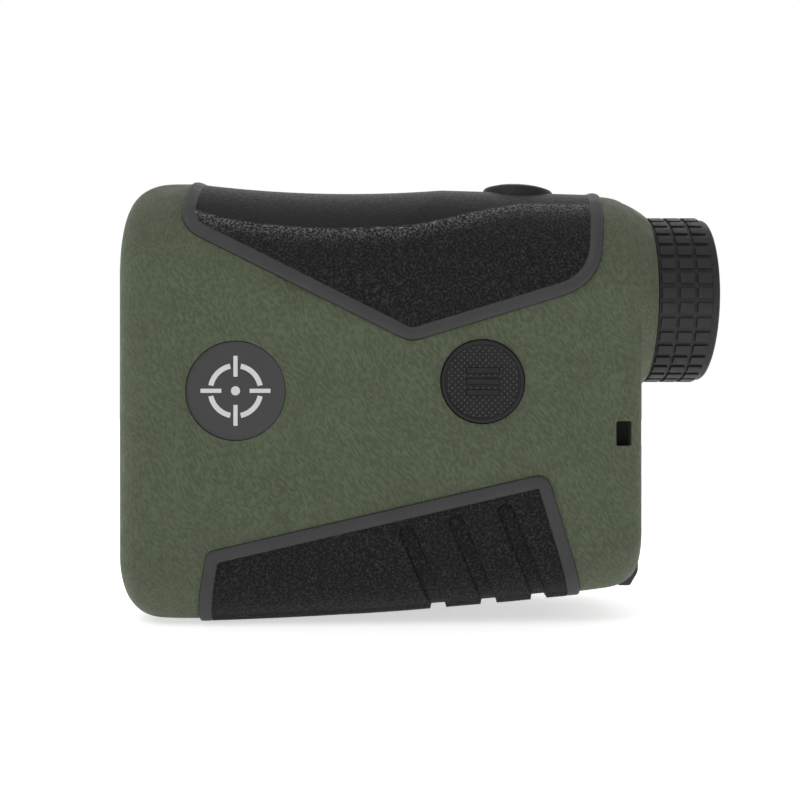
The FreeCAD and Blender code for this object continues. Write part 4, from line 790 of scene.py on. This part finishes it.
# The panel's lift rises to PROUD towards the sole: from how far above the facet, and over how much.
SOLE_FADE_TOP, SOLE_FADE = 1.4, 0.4
SAME_LIFT = 0.01
BOTTOM_LEFT, BOTTOM_RIGHT = FRONT + 16.0, REAR - 16.3
BOTTOM_LEVEL = float(belly_level(np.array([BOTTOM_LEFT]))[0])
BOTTOM_UNDER = BOTTOM_LEVEL - 7.0       # clear below the belly
BOTTOM_CORNERS = ((BOTTOM_LEFT - 3.3, BOTTOM_UNDER, 0), (BOTTOM_LEFT, BOTTOM_LEVEL + 12.0, 1.5),
                  (BOTTOM_RIGHT, BOTTOM_LEVEL + 24.8, 2.2), (BOTTOM_RIGHT + 9.7, BOTTOM_UNDER, 0))
BOTTOM_INNER_RADII = (0, 0.01, 0.01, 0)


def finger_track(index, corner, grow):
    """One leaning finger groove: a round head and two sides that run off the sole."""
    head = Vector((corner[0] - FINGER_BACK + FINGER_PITCH * index,
                   corner[1] - FINGER_DOWN + FINGER_RISE * index))
    foot = Vector(FINGER_LEAN)
    side = Vector((-FINGER_LEAN[1], FINGER_LEAN[0]))
    radius = FINGER_HALF + grow
    turns = [math.pi * step / FINGER_TURNS for step in range(FINGER_TURNS + 1)]
    cap = [head - side * radius * math.cos(turn) - foot * radius * math.sin(turn)
           for turn in turns]
    start = cap[0] + foot * FINGER_RUN
    end = cap[-1] + foot * FINGER_RUN
    return traced([(*spot, 0) for spot in (start, *cap, end)])


def bottom_grip():
    """The lower grip, wrapped round the belly with its flat sole and finger grooves."""
    rims = rim_loops(BOTTOM_CORNERS, SOLE_RIM, BOTTOM_INNER_RADII, -1, belly_run, belly_level)
    pockets = []
    for index in range(3):
        for grow, height in ((GROOVE_WALL / 2, PANEL_LIFT), (-GROOVE_WALL / 2, GROOVE_FLOOR)):
            track = finger_track(index, BOTTOM_CORNERS[2], grow)
            loop = unrolled(track, belly_run, belly_level, GROOVE_STEP)
            pockets.append((loop, height))

    def point_of(x, run, lift):
        skin = belly_point(x, run, np.zeros(len(x)))
        above = skin[:, 2] - underside(x)
        sole = np.clip((SOLE_FADE_TOP - above) / SOLE_FADE, 0, 1)
        on_panel = np.abs(lift - PANEL_LIFT) < SAME_LIFT
        lift = np.where(on_panel, lift + (PROUD - PANEL_LIFT) * sole, lift)
        points = belly_point(x, run, lift)
        points[:, 2] = np.maximum(points[:, 2], underside(x))
        return points

    faces, top, base, panel = patch(rims, pockets, point_of)
    mesh = closed_mesh("bottom_grip_moulding", faces, top, base, panel)
    smooth(mesh, GRIP_SHARP)
    thing = keep("bottom_grip_moulding", mesh, None, "bottom_grip")
    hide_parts("bottom_grip")


# ---------------------------------------------------------------- knurl and marks
# Spots are (x, z), faces and fields are levels along Y, and a raised mark stands towards -Y.
BUTTON_SPOT = (10.4026, 40.2)
BUTTON_FIELD = -19.122
BADGE_SPOT = (-29.9, 38.7)
BADGE_FACE = -19.162
ROOT = 0.03             # how deep knurl and bars are sunk in the button
KNURL_PITCH = 1.0
KNURL_REACH = 5.85
KNURL_FOOT, KNURL_TOP, KNURL_RISE = 0.45, 0.2, 0.24
BAR_HALF = (2.7, 0.5)
BAR_PITCH = 1.8
BAR_MARGIN = 0.1        # kept clear of knurl round a bar
BAR_SLOPE = 0.1
BAR_SHOULDER, BAR_RISE = 0.12, 0.32
RETICLE_SINK, RETICLE_RISE = 0.04, 0.05
RETICLE_RADIUS, RETICLE_HALF = 4.1, 0.42
RETICLE_GAP = 12        # degrees between an arc's end and a tick's middle
TICK_MIDDLE, TICK_HALF = 4.0, (1.7, 0.34)
DOT_RADIUS, DOT_STEPS = 0.75, 16


def raised(name, shells, spot, slot, like):
    """One piece of closed studs on a face that looks along -Y.

    Each stud is (foot loop, foot level, top loop, top level). A loop holds (x, z) points about
    the spot.
    """
    points, faces = [], []
    for foot, low, top, high in shells:
        first = len(points)
        count = len(foot)
        points += [(spot[0] + x, low, spot[1] + z) for x, z in foot]
        points += [(spot[0] + x, high, spot[1] + z) for x, z in top]
        faces.append([first + index for index in range(count)])
        faces.append([first + count + index for index in reversed(range(count))])
        for index in range(count):
            after = (index + 1) % count
            faces.append([first + index, first + count + index,
                          first + count + after, first + after])
    mesh = bpy.data.meshes.new(name)
    mesh.from_pydata([tuple(number * MM for number in point) for point in points], [], faces)
    work = bmesh.new()
    work.from_mesh(mesh)
    bmesh.ops.recalc_face_normals(work, faces=work.faces)
    work.to_mesh(mesh)
    work.free()
    smooth(mesh, STUD_SHARP)
    keep(name, mesh, slot, like)


def diamond(x, z, half):
    """A square standing on its corner."""
    return [(x - half, z), (x, z - half), (x + half, z), (x, z + half)]


def oblong(x, z, half_x, half_z):
    """A rectangle about a point."""
    return [(x - half_x, z - half_z), (x + half_x, z - half_z), (x + half_x, z + half_z),
            (x - half_x, z + half_z)]


def arc_strip(radius, half, start, end, steps=12):
    """A strip of a ring between two angles in degrees."""
    turns = [math.radians(start + (end - start) * step / steps) for step in range(steps + 1)]
    inner, outer = ([(reach * math.cos(turn), reach * math.sin(turn)) for turn in turns]
                    for reach in (radius - half, radius + half))
    return inner + outer[::-1]


def button_knurl():
    """Small truncated diamonds over the cap's field, left out under the three bars."""
    studs = []
    reach = int(2 * KNURL_REACH / KNURL_PITCH) + 1
    for row in range(-reach, reach + 1):
        for column in range(-reach, reach + 1):
            x, z = column * KNURL_PITCH / 2, row * KNURL_PITCH / 2
            bar = round(z / BAR_PITCH)
            under = (abs(x) < BAR_HALF[0] + BAR_MARGIN and abs(bar) <= 1
                     and abs(z - bar * BAR_PITCH) < BAR_HALF[1] + BAR_MARGIN)
            if (row + column) % 2 or math.hypot(x, z) > KNURL_REACH or under:
                continue
            studs.append((diamond(x, z, KNURL_FOOT), BUTTON_FIELD + ROOT,
                          diamond(x, z, KNURL_TOP), BUTTON_FIELD - KNURL_RISE))
    raised("mode_button_knurl", studs, BUTTON_SPOT, "mark_button", "mode_button")


def button_bars():
    """Three plain bars with sloping tops, each on a straight-sided root."""
    bars = []
    shoulder = BUTTON_FIELD - BAR_SHOULDER
    for row in (-1, 0, 1):
        z = row * BAR_PITCH
        foot = oblong(0, z, *BAR_HALF)
        top = oblong(0, z, BAR_HALF[0] - BAR_SLOPE, BAR_HALF[1] - BAR_SLOPE)
        bars.append((foot, shoulder, top, BUTTON_FIELD - BAR_RISE))
        bars.append((foot, BUTTON_FIELD + ROOT, foot, shoulder))
    raised("mode_button_bars", bars, BUTTON_SPOT, "button_rubber", "mode_button")


def badge_reticle():
    """A plain aiming reticle, as thin white inlays."""
    low, high = BADGE_FACE + RETICLE_SINK, BADGE_FACE - RETICLE_RISE
    loops = [arc_strip(RETICLE_RADIUS, RETICLE_HALF, start + RETICLE_GAP, start + 90 - RETICLE_GAP)
             for start in (0, 90, 180, 270)]
    for offset in (-TICK_MIDDLE, TICK_MIDDLE):
        loops.append(oblong(offset, 0, *TICK_HALF))
        loops.append(oblong(0, offset, *TICK_HALF[::-1]))
    turns = [turn * math.pi / (DOT_STEPS / 2) for turn in range(DOT_STEPS)]
    loops.append([(DOT_RADIUS * math.cos(turn), DOT_RADIUS * math.sin(turn)) for turn in turns])
    marks = [(loop, low, loop, high) for loop in loops]
    raised("badge_reticle", marks, BADGE_SPOT, "mark_white", "badge_disc")


# ---------------------------------------------------------------- stage, light, camera
# Places here are in metres.
FRONT_LIGHT = 0.3       # strength of the world on the camera's side; it is 1 behind the object
FADE_FROM, FADE_TO = -0.35, 0.45
FLOOR_SIZE = 4.0
FLOOR_GLOW = 0.6
LIGHTS = (              # name, place, size, watts
    ("key", (-0.25, -0.35, 0.62), 0.45, 1.6),
    ("fill", (0.45, -0.5, 0.3), 0.5, 0.3),
    ("back", (0.1, 0.5, 0.5), 0.5, 0.5),
)
AIM = (0, 0, 0.04)
CAMERA_PLACE = (-3.1 * MM, -200.2 * MM, 37.2 * MM)
LENS, SENSOR = 50, 36
CLIP_START = 0.01


def studio():
    """The floor, the world, the lights and the camera square to the object's left side."""
    bpy.ops.mesh.primitive_plane_add(size=FLOOR_SIZE)
    floor = bpy.context.object
    floor.name = "floor"
    look = Look("floor", (0.86, 0.86, 0.86), 0.85)
    look.paint(look.noise(60.0, detail=2), 0.99, 1.0)
    look.shader.inputs["Emission Color"].default_value = (1, 1, 1, 1)
    look.shader.inputs["Emission Strength"].default_value = FLOOR_GLOW
    floor.data.materials.append(look.material)
    world = bpy.data.worlds.new("studio")
    scene.world = world
    world.use_nodes = True
    tree = world.node_tree
    background = tree.nodes["Background"]
    background.inputs["Color"].default_value = (1, 1, 1, 1)
    direction = tree.nodes.new("ShaderNodeTexCoord")
    parts = tree.nodes.new("ShaderNodeSeparateXYZ")
    fade = tree.nodes.new("ShaderNodeMapRange")
    fade.interpolation_type = "SMOOTHSTEP"
    limits = {"From Min": FADE_FROM, "From Max": FADE_TO, "To Min": FRONT_LIGHT, "To Max": 1.0}
    for socket, number in limits.items():
        fade.inputs[socket].default_value = number
    tree.links.new(direction.outputs["Generated"], parts.inputs[0])
    tree.links.new(parts.outputs["Y"], fade.inputs["Value"])
    tree.links.new(fade.outputs[0], background.inputs["Strength"])
    for name, place, size, watts in LIGHTS:
        light = bpy.data.lights.new(name, "AREA")
        light.size = size
        light.energy = watts
        lamp = bpy.data.objects.new(name, light)
        scene.collection.objects.link(lamp)
        lamp.location = place
        aim = Vector(AIM) - Vector(place)
        lamp.rotation_euler = aim.to_track_quat("-Z", "Y").to_euler()
    camera_data = bpy.data.cameras.new("camera")
    camera_data.lens = LENS
    camera_data.sensor_width = SENSOR
    camera_data.clip_start = CLIP_START
    camera = bpy.data.objects.new("camera", camera_data)
    scene.collection.objects.link(camera)
    camera.location = CAMERA_PLACE
    camera.rotation_euler = (math.radians(90), 0, 0)
    scene.camera = camera
    scene.view_settings.view_transform = "Standard"


# ---------------------------------------------------------------- pieces
OUTER = ("left_shell", "right_shell", "front_bezel", "badge_disc", "mode_button", "power_button",
         "battery_door", "lanyard_insert", "diopter_ring", "ring_sleeve", "eyecup")
MOULDED = ("top_grip", "bottom_grip")
for node in OUTER:
    # A bevel on the diopter ring makes faces that reach into the eye lens.
    refined(node, bevel=0 if node == "diopter_ring" else EDGE_BEVEL)
top_grip()
bottom_grip()
button_knurl()
button_bars()
badge_reticle()
for node in nodes:
    if node not in OUTER + MOULDED:
        dress(nodes[node], SLOT_OF[node])
        smooth(nodes[node].data)
studio()
